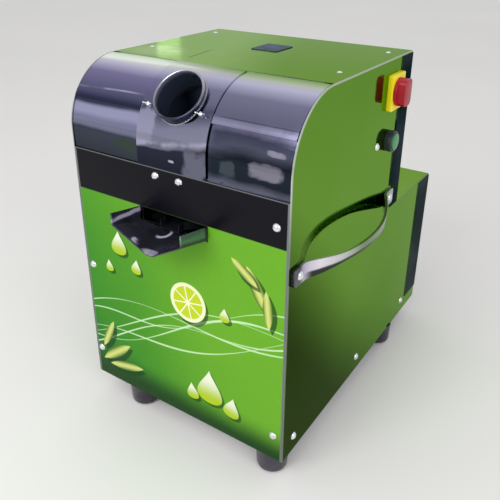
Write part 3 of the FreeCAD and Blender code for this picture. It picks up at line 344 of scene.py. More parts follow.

# %% [markdown]
# ## Plain sheets under the hood
# The plain front sheet and the narrow plate that carries the feed tube are mirrors too, and their
# reflections are painted. Where they begin to roll they are painted with the pale room, and where
# they stand upright nearly black, with a few paler blocks, the way a mirror shows windows and
# doorways. The border between the two zones wavers, because the sheet isn't flat.

# %% Plain sheets
# Painted reflection tones by height in mm on the plain sheet, and by rise above the line on the feed
# plate.
PLAIN_LEFT = [(440, colour(50, 56, 64)), (482, colour(70, 74, 88)), (488, colour(142, 144, 174)),
              (499, colour(136, 138, 168)), (508, colour(172, 170, 204)), (517, colour(170, 168, 202)),
              (522, colour(68, 70, 94)), (528, colour(52, 54, 76))]
PLAIN_RIGHT = [(440, colour(104, 106, 128)), (450, colour(92, 94, 112)), (461, colour(34, 40, 50)),
               (486, colour(38, 44, 54)), (504, colour(88, 90, 110)), (518, colour(70, 72, 94)),
               (528, colour(130, 128, 156))]
PLATE_TONES = [(-44, colour(34, 36, 48)), (-9, colour(46, 48, 64)), (0, colour(190, 188, 214)),
               (5, colour(148, 148, 172)), (22, colour(142, 142, 168)), (44, colour(60, 62, 86)),
               (56, colour(114, 112, 138))]


def patch(finish, x, z, x0, z0, wide, tall):
    """1 near a point and 0 beyond a boxy outline, u^4 + v^4 = 1, broken up and softened by noise."""
    u, v = (x - x0) * (1.0 / wide), (z - z0) * (1.0 / tall)
    u, v = u * u, v * v
    return (u * u + v * v + (finish.noise(44.0, 3.0) - 0.5) * 5.0).between(1.9, 0.3)


def plain_front():
    """Painted reflections: tones by height, one list for the left and one for the right, pale patches on
    the right.
    """
    finish = Finish("plain_steel", Metallic=1.0, Specular_Tint=(0.6, 0.6, 0.6, 1.0))
    x, _, z = finish.axes()
    waver = (finish.noise(9.0, 2.0) - 0.5) * 10.0
    broken = (finish.noise(24.0, 3.0, stretch=(0.6, 1, 1.4)) - 0.5) * 24.0
    left = finish.ramp(z + waver, PLAIN_LEFT)
    # Painted reflection patches, one on the left and three on the right.
    left = finish.mix(patch(finish, x, z, -84, 470, 24, 9) * 0.6, left, colour(58, 74, 52))
    right = finish.ramp(z + broken, PLAIN_RIGHT)
    right = finish.mix(patch(finish, x, z, 99, 471, 13, 11) * 0.6, right, colour(78, 90, 96))
    right = finish.mix(patch(finish, x, z, 158, 479, 27, 11) * 0.9, right, colour(132, 130, 146))
    right = finish.mix(patch(finish, x, z, 172, 505, 14, 4) * 0.8, right, colour(172, 170, 190))
    finish.paint(finish.mix(x.between(30, 80), left, right))
    finish.gloss(0.05, 0.14)
    finish.bump(finish.noise(7.0, 1.0), 0.0014)
    finish.bump(finish.noise(160.0, 3.0), 0.00003)


def feed_plate():
    """Painted reflections: tones follow the height above a line that climbs to the right: 484 + 0.0009
    (x + 57)^2.
    """
    finish = Finish("plate_steel", Metallic=1.0, Specular_Tint=(0.6, 0.6, 0.6, 1.0))
    x, y, z = finish.axes()
    reach = x + 57.0
    waver = (finish.noise(22.0, 2.0, stretch=(1, 1, 0.6)) - 0.5) * 13.0
    rise = z - 484.0 - reach * reach * 0.0009 + waver
    line = finish.noise(40.0, 2.0).between(0.35, 0.6)
    low = finish.ramp(rise, PLATE_TONES)
    # Painted reflections: a broken bright line along the rise, a grey block, a pale patch and a small
    # glint.
    calm = finish.mix(rise.between(-8, 2), colour(42, 44, 60), colour(138, 138, 164))
    low = finish.mix(abs(rise).between(8, 2) * (line * -1.0 + 1.0), low, calm)
    low = finish.mix(patch(finish, x, z, 46, 462, 21, 24) * 0.85, low, colour(112, 113, 132))
    low = finish.mix(patch(finish, x, z, -58, 506, 26, 26) * 0.75, low, colour(176, 176, 204))
    low = finish.mix(patch(finish, x, z, 3, 463, 5, 2) * 0.8, low, colour(196, 198, 210))
    angle = round_nose(y, z)
    finish.paint(finish.mix(angle.between(30, 46), low, rolled_tones(finish, x, angle)))
    finish.gloss(0.06, 0.16)
    finish.bump(finish.noise(8.0, 1.0), 0.0014)
    finish.bump(finish.noise(160.0, 3.0), 0.00003)


plain_front()
feed_plate()
print("plain sheets done")

# %% [markdown]
# ## Green film
# The sides and top are covered with a clear green film over polished sheet, so they mirror what
# stands in front of them, tinted green. A metallic shader with a green base colour does that, and
# its specular tint keeps it green where it is seen at a flat angle. It stays smooth, because the
# switch and the handle are seen again in it quite sharply. Towards its lower front corner the right
# side is painted dark, a painted dark reflection. The film stops short of the front edge, where a
# narrow margin and the cut edge of the sheet stay bare: painted bright round the nose as a
# highlight, and duller down the front.

# %% Green film


def side_film():
    """The margin is measured inwards from the front edge and the nose: R - sqrt(forward^2 + up^2)."""
    finish = Finish("side_film", Metallic=1.0, Specular_Tint=(0.6, 0.73, 0.51, 1.0))
    x, y, z = finish.axes()
    drift = finish.noise(2.6, 2.0).between(0.35, 0.65)
    base = finish.mix(drift, colour(112, 160, 62), colour(120, 166, 70))
    sway = (finish.noise(4.0, 1.0) - 0.5) * 60.0
    # Painted dark reflection towards the lower front corner of the right side.
    painted_dark_corner = (y + z * 0.85 + sway).between(420, 190) * x.between(0, 60)
    base = finish.mix(painted_dark_corner, base, colour(30, 38, 24))
    forward = ((y - NOSE_R) * -1.0).math("MAXIMUM", 0.0)
    upward = (z - NOSE_Z).math("MAXIMUM", 0.0)
    margin = (forward * forward + upward * upward).math("SQRT") * -1.0 + NOSE_R
    # The bare margin is real bare steel, with a painted highlight that brightens it towards the nose.
    bare = finish.mix(z.between(360, 500), colour(132, 142, 132), colour(206, 212, 204))
    base = finish.mix(margin.between(2.9, 2.3), base, bare)
    edge = abs(finish.facing(0)).between(0.6, 0.3)
    finish.paint(finish.mix(edge, base, bare))
    finish.gloss(0.035, 0.075)
    finish.bump(finish.noise(3.0, 1.0), 0.0008)
    finish.bump(finish.noise(240.0, 3.0), 0.00001)


def top_film():
    """Painted reflections: paler towards the front left, with a pale highlight patch; a fine dark line
    runs back where two reflections meet.
    """
    finish = Finish("top_film", Metallic=1.0, Specular_Tint=(0.47, 0.62, 0.34, 1.0))
    x, y, _ = finish.axes()
    sway = (finish.noise(3.0, 2.0) - 0.5) * 60.0
    # Painted reflection: paler towards the front left.
    painted_pale_reflection = (x + y * 0.4 + sway).between(170, 10)
    base = finish.mix(painted_pale_reflection, colour(140, 178, 96), colour(196, 222, 166))
    # Painted pale highlight patch at the front left.
    u, v = (x + 150.0) * 0.017, (y - 150.0) * 0.022
    base = finish.mix((u * u + v * v).between(1.3, 0.0) * 0.85, base, colour(240, 248, 228))
    # Painted dark line where two reflections meet.
    line = abs(x + (y - 137.0) * 0.13 + 67.0).between(2.2, 0.6)
    line = line * y.between(128, 138) * y.between(214, 190)
    finish.paint(finish.mix(line * 0.85, base, colour(54, 84, 32)))
    finish.gloss(0.1, 0.16)
    finish.bump(finish.noise(3.0, 1.0), 0.0008)
    finish.bump(finish.noise(240.0, 3.0), 0.00001)


side_film()
top_film()
print("film finishes:", [n for n in finishes if "film" in n])

# %% [markdown]
# ## Printed front
# The front sheet carries a printed film: a black band under the plain sheet, and a green field with
# a few light drawings. The print is drawn with formulas. A leaf is the space between two parabolas,
# a drop is a circle drawn out to a point, a slice is a disc cut by rays, and a strand is a thin band
# about a wave.

# %% Shapes for the print


def stencil(value, soft=0.7):
    """1 where the value is positive, 0 where it is negative, with a soft edge of that many mm."""
    return value.between(-soft, soft)


def local(x, z, x0, z0, degrees):
    """Coordinates along and across a drawing that is moved to a point and turned."""
    c, s = math.cos(math.radians(degrees)), math.sin(math.radians(degrees))
    dx, dz = x - x0, z - z0
    return dx * c + dz * s, dz * c - dx * s


def leaf(x, z, x0, z0, degrees, length, width):
    """Half width = width * (1 - (2u/length)^2), u being the distance from the middle."""
    u, v = local(x, z, x0, z0, degrees)
    t = u * (2.0 / length)
    return stencil((t * t * -1.0 + 1.0) * width - abs(v) - 0.7), abs(v)


def drop(x, z, x0, z0, degrees, size):
    """Half width = size * sqrt(1 - t^2) * (1 - t) / 1.3, t running from -1 to 1 along the drop."""
    u, v = local(x, z, x0, z0, degrees)
    t = u / (size * 1.35)
    width = (t * t * -1.0 + 1.0).math("MAXIMUM", 0.0).math("SQRT") * (t * -1.0 + 1.0) * (size / 1.3)
    return stencil(width - abs(v) - 0.7), u


def slice_of_fruit(x, z, x0, z0, radius):
    """Disc, its pale rind ring, and eight wedges parted where the angle's sine is near zero."""
    u, v = local(x, z, x0, z0, 11)
    far = (u * u + v * v).math("SQRT")
    rays = abs((v.math("ARCTAN2", u) * 4.0).math("SINE")) * far
    flesh = stencil(far * -1.0 + radius * 0.82) * stencil(rays - radius * 0.13)
    return stencil(far * -1.0 + radius), flesh


def strand(x, z, rise, slope, wave, length, phase, width):
    """Band about z = rise + slope*x + wave*sin(x/length + phase), that swells and thins."""
    curve = (x / length + phase).math("SINE") * wave + x * slope + rise
    swell = ((x / 61.0 + phase * 2.0).math("SINE") + 1.6) * (width / 2.6)
    return stencil(swell - abs(z - curve), 0.8)


print("print shapes ready")

# %% The printed sheet
LEAVES = ((-150, 62, 38, 92, 11), (-128, 40, 14, 88, 10), (-166, 96, 64, 74, 9),
          (150, 300, 118, 80, 11), (168, 272, 96, 66, 9), (128, 322, 142, 60, 9))
DROPS = ((-120, 296, 90, 17), (-84, 262, 84, 11), (-146, 246, 96, 9), (60, 84, 90, 26),
         (104, 62, 82, 16), (24, 60, 98, 13), (92, 236, 90, 10))
STRANDS = ((168, 0.34, 26, 74, 0.2, 2.2), (176, 0.30, 30, 92, 1.1, 1.6), (160, 0.38, 20, 66, 2.0, 1.7),
           (184, 0.27, 34, 104, 2.9, 1.5), (152, 0.36, 24, 84, 4.1, 1.8), (192, 0.33, 18, 58, 5.0, 1.3))
SHADE = colour(14, 66, 20)
BAND_FOOT, PRINT_TOP, PRINT_EDGE = 377.0, 444.6, 195.6
WINDOW_FOOT, WINDOW_EDGE = 351.0, 65.0


def printed():
    """From the ground up: cloudy green, strands, leaves, slice, drops, the band, the bare edges."""
    finish = Finish("printed_front", Specular_IOR_Level=0.1)
    x, _, z = finish.axes()
    cloud = (finish.noise(4.0, 2.0) - 0.5) * 160.0
    light = (x + z * 0.5 + cloud).between(-160, 240)
    field = finish.mix(light, colour(50, 132, 30), colour(104, 168, 40))
    field = finish.mix((x + z * 0.6 + cloud).between(-60, -190), field, colour(36, 104, 30))
    field = finish.mix((z + cloud * 0.25).between(70, 8), field, colour(26, 66, 22))
    for numbers in STRANDS:
        field = finish.mix(strand(x, z, *numbers) * 0.8, field, colour(206, 240, 190))
    for x0, z0, degrees, length, width in LEAVES:
        shadow, _ = leaf(x, z, x0 + 6, z0 - 6, degrees, length, width + 2)
        field = finish.mix(shadow * 0.8, field, colour(14, 62, 18))
        shape, off_rib = leaf(x, z, x0, z0, degrees, length, width)
        blade = finish.mix(off_rib.between(0.4, width), colour(206, 214, 120), colour(66, 110, 34))
        field = finish.mix(shape, field, blade)
    shadow, _ = slice_of_fruit(x, z, 27, 226, 35)
    field = finish.mix(shadow * 0.75, field, SHADE)
    rind, flesh = slice_of_fruit(x, z, 22, 232, 35)
    disc = finish.mix(flesh, colour(236, 242, 196), colour(190, 208, 40))
    field = finish.mix(rind, field, disc)
    for x0, z0, degrees, size in DROPS:
        shadow, _ = drop(x, z, x0 + 5, z0 - 4, degrees, size)
        field = finish.mix(shadow * 0.75, field, SHADE)
        shape, along = drop(x, z, x0, z0, degrees, size)
        height = along.between(-size, size * 0.7)
        juice = finish.mix(height, colour(172, 200, 34), colour(232, 238, 214))
        field = finish.mix(shape, field, juice)
    field = finish.mix(stencil(z - BAND_FOOT, 0.8), field, colour(14, 13, 20))
    # Round the window behind the spout the sheet and its cut edges are painted near-black metal: painted
    # shade in the opening.
    mouth = stencil(z - WINDOW_FOOT) * stencil(z * -1.0 + BAND_FOOT)
    mouth = mouth * stencil(abs(x) * -1.0 + WINDOW_EDGE)
    field = finish.mix(mouth, field, colour(20, 19, 28))
    bare = stencil(abs(x) - PRINT_EDGE).math("MAXIMUM", finish.facing(1).between(-0.7, -0.4))
    bare = bare.math("MAXIMUM", stencil(z - PRINT_TOP) * 0.8)
    finish.paint(finish.mix(bare, field, colour(128, 132, 134)))
    finish.feed(finish.shader.inputs["Metallic"], bare.math("MAXIMUM", mouth) * 0.9)
    finish.gloss(0.24, 0.36)
    finish.bump(finish.noise(3.0, 1.0), 0.0008)


printed()
print("print drawn with", len(finishes["printed_front"].node_tree.nodes), "nodes")

# %% [markdown]
# ## Plastics, rubber and plated bolts
# Moulded plastic has a faint orange-peel surface and slight shifts of tone. Rubber has a deeper
# grain. Zinc-plated bolts are bright. Each is a base colour pair, a roughness range and a bump, so
# one function makes them all.

# %% Moulded and plated finishes


def plain(name, dark, light, rough, scale=40.0, depth=0.00006, **shader):
    """Two tones that drift, and a grain of that depth in metres; the scale is waves a metre."""
    finish = Finish(name, **shader)
    finish.paint(finish.mix(finish.noise(scale / 3, 3.0).between(0.3, 0.7), dark, light))
    finish.gloss(*rough)
    finish.bump(finish.noise(scale * 6, 3.0), depth)


plain("switch_yellow", colour(244, 220, 16), colour(255, 234, 42), (0.28, 0.4), Specular_IOR_Level=0.35)
plain("switch_red", colour(156, 14, 34), colour(174, 22, 42), (0.26, 0.38), Specular_IOR_Level=0.35)
plain("button_green", colour(48, 118, 70), colour(64, 140, 86), (0.25, 0.38), Specular_IOR_Level=0.35)
plain("black_plastic", colour(22, 26, 36), colour(38, 42, 58), (0.3, 0.45))
plain("feet_rubber", colour(40, 37, 46), colour(64, 59, 72), (0.22, 0.38), 60.0, 0.00008)
plain("duct_steel", colour(46, 54, 70), colour(60, 68, 86), (0.3, 0.45), Metallic=0.2)
plain("shaded_steel", colour(14, 15, 20), colour(26, 28, 36), (0.35, 0.5), Metallic=0.3)
plain("plate_blue", colour(58, 72, 92), colour(112, 128, 148), (0.14, 0.26), 150.0, Metallic=1.0,
      Specular_Tint=(0.4, 0.44, 0.5, 1.0))
plain("bright_fastener", colour(222, 222, 228), colour(244, 244, 248), (0.12, 0.24), Metallic=1.0)
plain("machined_steel", colour(150, 150, 152), colour(184, 184, 186), (0.2, 0.34), 30.0, Metallic=1.0)
plain("bronze", colour(150, 108, 56), colour(190, 142, 80), (0.24, 0.4), Metallic=1.0)
plain("painted_frame", colour(60, 64, 68), colour(82, 86, 90), (0.4, 0.55), 30.0, 0.0002)
plain("motor_paint", colour(44, 66, 92), colour(60, 84, 112), (0.35, 0.5), 30.0, 0.0002)
print(len(finishes), "finishes so far")

# %% [markdown]
# ## Dressing the solids
# Each solid keeps its shape and takes the finish of its slot in the machine's record. Some need a
# second look: the green film is painted lighter on the top than on the sides, a painted reflection,
# and the sheets of the front and the covers at the back have finishes of their own.

# %% Finishes onto solids
# top_film is the green film painted lighter; the hood, plain and plate finishes carry painted
# reflections.
SPECIAL = {"top_panel": "top_film", "motor_box_lid": "top_film", "hood": "hood_steel",
           "front_plain_panel": "plain_steel", "feed_plate": "plate_steel", "feed_guide": "duct_steel",
           "rear_cover": "cover_steel", "motor_box_cover": "cover_steel", "top_plate": "plate_blue",
           "juice_tray": "shaded_steel"}
SLOTS = {"green_film": "side_film"}
slot_of = {part["node"]: part["material_slot"] for part in frame["record"]["subparts"]}


def dress(item, finish):
    """Put one finish on every face of a piece."""
    item.data.materials.clear()
    item.data.materials.append(finishes[finish])


for name, solid in nodes.items():
    dress(solid, SPECIAL.get(name) or SLOTS.get(slot_of[name], slot_of[name]))
print("dressed", len(nodes), "solids")

# %% [markdown]
# ## Building surfaces from grids
# New pieces are grids of points: a formula gives the point for each pair of parameters, and the
# faces join neighbours. Where the grid closes on itself, or shrinks to a point, the doubled points
# are merged afterwards, and the normals are turned outwards.

# %% Grid to mesh


def surface(name, points, loop_rows=False, loop_columns=False):
    """Quads between neighbours of a grid of points, shape (rows, columns, 3), in metres."""
    rows, columns = points.shape[:2]
    index = np.arange(rows * columns).reshape(rows, columns)
    if loop_rows:
        index = np.vstack([index, index[:1]])
    if loop_columns:
        index = np.hstack([index, index[:, :1]])
    quads = np.stack([index[:-1, :-1], index[1:, :-1], index[1:, 1:], index[:-1, 1:]], axis=-1)
    mesh = bpy.data.meshes.new(name)
    mesh.from_pydata(points.reshape(-1, 3), [], quads.reshape(-1, 4))
    return close(name, mesh)


def close(name, mesh, angle=35):
    """Merge doubled points, drop the empty faces, turn normals outwards and shade smoothly."""
    work = bmesh.new()
    work.from_mesh(mesh)
    bmesh.ops.remove_doubles(work, verts=work.verts, dist=2e-6)
    bmesh.ops.dissolve_degenerate(work, edges=work.edges, dist=1e-6)
    bmesh.ops.recalc_face_normals(work, faces=work.faces)
    work.to_mesh(mesh)
    work.free()
    mesh.shade_smooth()
    mesh.set_sharp_from_angle(angle=math.radians(angle))
    item = bpy.data.objects.new(name, mesh)
    bpy.context.scene.collection.objects.link(item)
    return item


def add_piece(item, body, slot, finish=None, instead_of=()):
    """Give a piece the slot's finish or the one named, let it ride on its body, and hide the solids it
    stands for.
    """
    dress(item, finish or slot)
    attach(item, body)
    if instead_of:
        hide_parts(*instead_of)
    print(item.name, len(item.data.polygons), "faces")
    return item


# %% Turned pieces


def across(axis):
    """Two directions at right angles to an axis, the first as level as it can be."""
    axis = np.array(axis, float)
    side = np.cross(axis, (0, 0, 1)) if abs(axis[2]) < 0.9 else np.array((1.0, 0, 0))
    side /= np.linalg.norm(side)
    return side, np.cross(side, axis)


def turned(name, profile, base, axis, steps=72):
    """Profile of (radius, height) pairs in mm, carried once round an axis through the base."""
    profile = np.array(profile, float)
    side, other = across(axis)
    angle = np.linspace(0, 2 * np.pi, steps, endpoint=False)
    ring = np.cos(angle)[:, None] * side + np.sin(angle)[:, None] * other
    points = base + profile[None, :, :1] * ring[:, None, :] + profile[None, :, 1:] * np.array(axis)
    return surface(name, place(*np.moveaxis(points, -1, 0)), loop_rows=True)


def arc(cx, cy, radius, start, end, steps=8):
    """Points on an arc, from a start angle to an end angle in degrees."""
    angle = np.radians(np.linspace(start, end, steps))
    return [(cx + radius * math.cos(a), cy + radius * math.sin(a)) for a in angle]


print("turning helper ready")

# %% [markdown]
# ## Feed tube
# The cane goes in through a short tube that stands square to the roll. Its rim is rolled outwards
# over a wire, so that no raw edge is left where hands come near, and a weld bead runs round its
# foot. The tube is one closed profile turned about its axis. The bead isn't flat: it follows the
# line where the tube's cylinder meets the roll's cylinder.

# %% Feed tube
FEED = math.radians(44)
FEED_AXIS = np.array((0, -math.cos(FEED), math.sin(FEED)))
FEED_BASE = np.array((2.0, 95.0, 485.0))
TUBE_IN, TUBE_OUT, TUBE_TOP = 37.5, 39.0, 97.2


def tube_steel():
    """Painted light and shade: the rim and wall pale on their upper side, darker below; inside, painted
    shade sinks the tone to navy with the depth below the rim.
    """
    finish = Finish("tube_steel")
    x, y, z = finish.axes()
    dx, dy, dz = x - FEED_BASE[0], y - FEED_BASE[1], z - FEED_BASE[2]
    along = dy * FEED_AXIS[1] + dz * FEED_AXIS[2]
    out = dy * math.sin(FEED) + dz * math.cos(FEED)
    far = (dx * dx + out * out).math("SQRT")
    # Painted light and shade round the wall: pale on its upper side, dark below.
    painted_wall_light = finish.mix((out + dx * -0.35).between(-40, 34), colour(62, 62, 80), colour(206, 206, 220))
    painted_wall_light = finish.mix(finish.noise(30.0, 2.0).between(0.35, 0.65) * 0.35, painted_wall_light, colour(120, 118, 140))
    # Painted shade inside: navy deeper down the tube.
    painted_inner_shade = finish.mix(along.between(98, 92), colour(120, 124, 140), colour(56, 66, 84))
    inside = far.between(38.4, 37.9)
    finish.paint(finish.mix(inside, painted_wall_light, painted_inner_shade))
    finish.feed(finish.shader.inputs["Metallic"], inside * -0.75 + 1.0)
    finish.gloss(0.1, 0.22)
    finish.bump(finish.noise(120.0, 3.0), 0.00004)


tube_steel()
rim = arc(39.2, 99.6, 2.0, -60, 200, 14)
profile = [(TUBE_IN, 62), (TUBE_OUT, 62), (TUBE_OUT, TUBE_TOP)] + rim + [(TUBE_IN, 98.4)]
tube = turned("feed_tube_rolled", profile + profile[:1], FEED_BASE, FEED_AXIS, 96)
add_piece(tube, "hood", "mirror_steel", "tube_steel", ["feed_tube"])

# %% Weld bead


def weld_bead(name, radius=39.7, bead=1.2, steps=180, sides=8):
    """Round the tube the bead climbs until it meets the roll: |start + height * axis| = R."""
    angle = np.linspace(0, 2 * np.pi, steps, endpoint=False)
    side, other = across(FEED_AXIS)
    outward = np.outer(np.cos(angle), side) + np.outer(np.sin(angle), other)
    start = FEED_BASE + radius * outward
    offset = (start - np.array((0, NOSE_Y, NOSE_Z)))[:, 1:]
    along = offset @ FEED_AXIS[1:]
    height = np.sqrt(along ** 2 - (offset ** 2).sum(axis=1) + (NOSE_R + 1.6) ** 2) - along
    centre = start + np.outer(height, FEED_AXIS)
    ripple = 1 + 0.12 * np.sin(angle * 46)
    turn = np.linspace(0, 2 * np.pi, sides, endpoint=False)
    size = (bead * ripple)[:, None, None]
    ring = centre[:, None] + size * (np.cos(turn)[None, :, None] * outward[:, None]
                                     + np.sin(turn)[None, :, None] * FEED_AXIS)
    return surface(name, place(*np.moveaxis(ring, -1, 0)), loop_rows=True, loop_columns=True)


add_piece(weld_bead("feed_tube_weld"), "hood", "bare_steel")

# %% [markdown]
# ## Bowed handles
# Each handle is a flat bar, bent outwards in a bow and bolted down at both ends. It narrows in the
# grip. The path is a smooth maximum of two lines: the cabinet's side and the bow's arc. A rounded
# rectangle is carried along it, its height following the taper.

# %% Handles


def rounded_section(half_u, half_v, radius, corner=5):
    """Outline of a rounded rectangle: four quarter circles joined by straight sides."""
    outline = []
    for cu, cv, start in ((1, 1, 0), (-1, 1, 90), (-1, -1, 180), (1, -1, 270)):
        outline += arc(cu * (half_u - radius), cv * (half_v - radius), radius, start, start + 90, corner)
    return np.array(outline)


HANDLE_FRONT, HANDLE_BACK, HANDLE_Z = 8.0, 360.0, 331.0
HANDLE_MIDDLE = (HANDLE_FRONT + HANDLE_BACK) / 2
BOW_RADIUS, BOW_DEPTH, SIDE_FACE = 277.5, 238.0, 202.5


def handle(name, side):
    """Path x(y) = smooth max(0, arc) off the cabinet's side; half height tapers from 14 to 6.8 mm."""
    y = np.linspace(HANDLE_FRONT, HANDLE_BACK, 221)
    from_middle = np.abs(y - HANDLE_MIDDLE)
    bow = np.sqrt(BOW_RADIUS ** 2 - from_middle ** 2) - BOW_DEPTH
    lift = (bow + np.sqrt(bow ** 2 + 9)) / 2
    taper = np.clip((from_middle - 60) / 92, 0, 1)
    half = 6.8 + 7.2 * taper * taper * (3 - 2 * taper)
    end = np.clip(np.minimum(y - HANDLE_FRONT, HANDLE_BACK - y) / 4, 0, 1)
    half = half - 4 + 4 * np.sqrt(1 - (1 - end) ** 2)
    slope = np.gradient(lift, y)
    length = np.hypot(1, slope)
    outline = rounded_section(2.5, 1.0, 0.9)
    thick, tall = outline[:, 0], np.sign(outline[:, 1])
    edge = np.abs(outline[:, 1]) - 1.0
    x = SIDE_FACE + lift[:, None] + thick * (1 / length)[:, None]
    back = y[:, None] - thick * (slope / length)[:, None]
    z = HANDLE_Z + tall * (half[:, None] + edge)
    points = place(side * x, back, z)
    caps = points.mean(axis=1, keepdims=True).repeat(points.shape[1], 1)
    return surface(name, np.concatenate([caps[:1], points, caps[-1:]]), loop_columns=True)


# Painted reflection tones along the handle bar, by distance back from the front in mm.
GRIP_TONES = [(0, colour(96, 96, 108)), (26, colour(84, 80, 92)), (36, colour(190, 184, 208)),
              (60, colour(236, 230, 244)), (112, colour(190, 196, 184)), (146, colour(124, 148, 104)),
              (330, colour(100, 122, 90)), (346, colour(170, 176, 178))]


def grip_steel():
    """Painted reflections along the bar: a dark front tab, the bright bow, then the green of the film;
    painted shade underneath.
    """
    finish = Finish("grip_steel", Metallic=0.85)
    _, y, z = finish.axes()
    sway = (finish.noise(12.0, 2.0) - 0.5) * 24.0
    base = finish.ramp(y + sway, GRIP_TONES)
    uneven = (finish.noise(20.0, 2.0) - 0.5) * 3.0
    # Painted shade along the underside of the bar.
    painted_underside_shade = (z - HANDLE_Z + uneven).between(-0.5, -4.5) * y.between(30, 50) * y.between(330, 300)
    finish.paint(finish.mix(painted_underside_shade, base, colour(52, 54, 52)))
    finish.gloss(0.12, 0.24)
    finish.bump(finish.noise(90.0, 4.0, stretch=(1, 0.3, 1)), 0.00005)


grip_steel()
for label, side in (("right", 1), ("left", -1)):
    bar = handle(f"handle_{label}_bar", side)
    add_piece(bar, "cabinet", "bare_steel", "grip_steel", [f"handle_{label}"])

# %% [markdown]
# ## Folded spout
# The spout is cut flat and folded: two upright cheeks and a floor that slopes to the middle. It is
# shallow at the panel and drawn to a point in front. The sheet is a blend between the section at
# the panel and the section at the tip; Solidify then gives it its thickness inwards.

# %% Spout


def spout_steel():
    """Painted dark reflection, near black, with painted curled highlights where the folds mirror a lamp;
    a painted green reflection of the print outside the right cheek.
    """
    finish = Finish("spout_steel", Metallic=0.3)
    x, y, z = finish.axes()
    twist = (finish.noise(40.0, 2.0) - 0.5) * 14.0
    base = finish.mix(finish.noise(16.0, 2.0).between(0.4, 0.6), colour(36, 36, 46), colour(56, 55, 68))
    # Painted highlights: a streak along the left cheek, a hook on the floor and patches near the tip.
    cheek = abs(z - 372.0 + twist * 0.4 + y * 0.05).between(4.5, 1.5) * x.between(-62, -63.4)
    dx, dy = x + 12.0 + twist * 0.4, y + 9.0
    hook = abs((dx * dx + dy * dy).math("SQRT") - 13.0).between(3.6, 1.0) * x.between(-18, -11)
    tip = patch(finish, x, y, -26, -53, 7, 5)
    tip = tip.math("MAXIMUM", patch(finish, x, y, 2, -55, 12, 5) * 0.7)
    shine = cheek.math("MAXIMUM", hook).math("MAXIMUM", tip) * finish.noise(30.0, 2.0).between(0.3, 0.55)
    base = finish.mix(shine, base, colour(206, 200, 226))
    # Painted green reflection of the print on the right cheek.
    painted_green_reflection = x.between(63.2, 63.9) * (z + y * 0.25 + twist * 0.3).between(355, 362) * y.between(-4, -10)
    finish.paint(finish.mix(painted_green_reflection, base, colour(90, 124, 100)))
    finish.gloss(0.08, 0.16)
    finish.bump(finish.noise(14.0, 1.0), 0.002)


spout_steel()


def fold_line(corners, radius, steps=6):
    """Open polyline in the x-z plane whose inner corners are rounded with that radius."""
    corners = np.array(corners, float)
    line = [corners[0]]
    for before, here, after in zip(corners, corners[1:], corners[2:]):
        start = here + (before - here) / np.linalg.norm(before - here) * radius
        end = here + (after - here) / np.linalg.norm(after - here) * radius
        t = np.linspace(0, 1, steps)[:, None]
        line += list((1 - t) ** 2 * start + 2 * t * (1 - t) * here + t ** 2 * end)
    return np.array(line + [corners[-1]])


SPOUT_REACH = 61.0


def spout(name):
    """Point = (1 - t) * section at the panel + t * section at the tip, t from 0 to 1 forwards."""
    panel = fold_line([(-64, 376), (-64, 354.2), (-20, 352), (20, 352), (64, 354.2), (64, 376)], 3)
    tip = fold_line([(-64, 387), (-64, 369), (-1, 339.5), (11, 339.5), (64, 369), (64, 387)], 3)
    t = np.linspace(0, 1, 25)[:, None]
    x = (1 - t) * panel[:, 0] + t * tip[:, 0]
    z = (1 - t) * panel[:, 1] + t * tip[:, 1]
    return surface(name, place(x, SPOUT_REACH * -t, z))


folded = spout("juice_spout_folded")
thickness = folded.modifiers.new("thickness", "SOLIDIFY")
thickness.thickness, thickness.offset = 0.0015, 1.0
thickness.use_even_offset = True
add_piece(folded, "cabinet", "mirror_steel", "spout_steel", ["juice_spout"])

# %% [markdown]
# ## Soft edges on moulded pieces
# The switch plate, knob and button are moulded, and a moulding has no sharp edge. A copy of the
# solid is merged into one skin, and a Bevel modifier rounds every edge that turns by more than 30
# degrees. The feet are turned outlines, with a wide round at the bottom.

# %% Bevelled copies


def softened(name, node, body, slot, width):
    """Copy of a solid with its sharp edges rounded by that many millimetres."""
    mesh = nodes[node].data.copy()
    mesh.materials.clear()
    item = close(name, mesh, 180)
    bevel = item.modifiers.new("soft edge", "BEVEL")
    bevel.width, bevel.segments, bevel.limit_method = width / 1000, 3, "ANGLE"
    bevel.angle_limit = math.radians(30)
    bevel.harden_normals = True
    return add_piece(item, body, slot, instead_of=[node])


softened("isolator_plate_soft", "isolator_plate", "cabinet", "switch_yellow", 1.2)
softened("isolator_knob_soft", "isolator_knob", "isolator_knob", "switch_red", 1.2)
softened("button_collar_soft", "button_collar", "cabinet", "black_plastic", 0.9)
softened("start_button_soft", "start_button", "start_button", "button_green", 1.0)

# %% [markdown]
# ## Plain sheet under the hem
# Seen from in front, the plain sheet runs on under the hood's folded hem, so that no light comes
# out between them. Its upper edge is carried on round the roll until the hem covers it.

# %% Plain sheet


HEM_FOOT = 24


def tucked(name, node, degrees):
    """Copy of the sheet; its points on the roll above the hem's foot are turned further round."""
    item = close(name, nodes[node].data.copy())
    centre = Vector(place(0, NOSE_Y, NOSE_Z))
    turn = Matrix.Rotation(math.radians(degrees), 3, "X")
    for point in item.data.vertices:
        reach = point.co - centre
        if math.degrees(math.atan2(reach.z, -reach.y)) > HEM_FOOT:
            point.co = centre + Vector((reach.x, 0, 0)) + turn @ Vector((0, reach.y, reach.z))
    return add_piece(item, "cabinet", slot_of[node], "plain_steel", [node])


tucked("front_plain_panel_tucked", "front_plain_panel", -4.6)

# %% Feet
FEET = {"front_left": (-112, 27), "front_right": (166, 27),
        "rear_left": (-112, 440), "rear_right": (176, 440)}

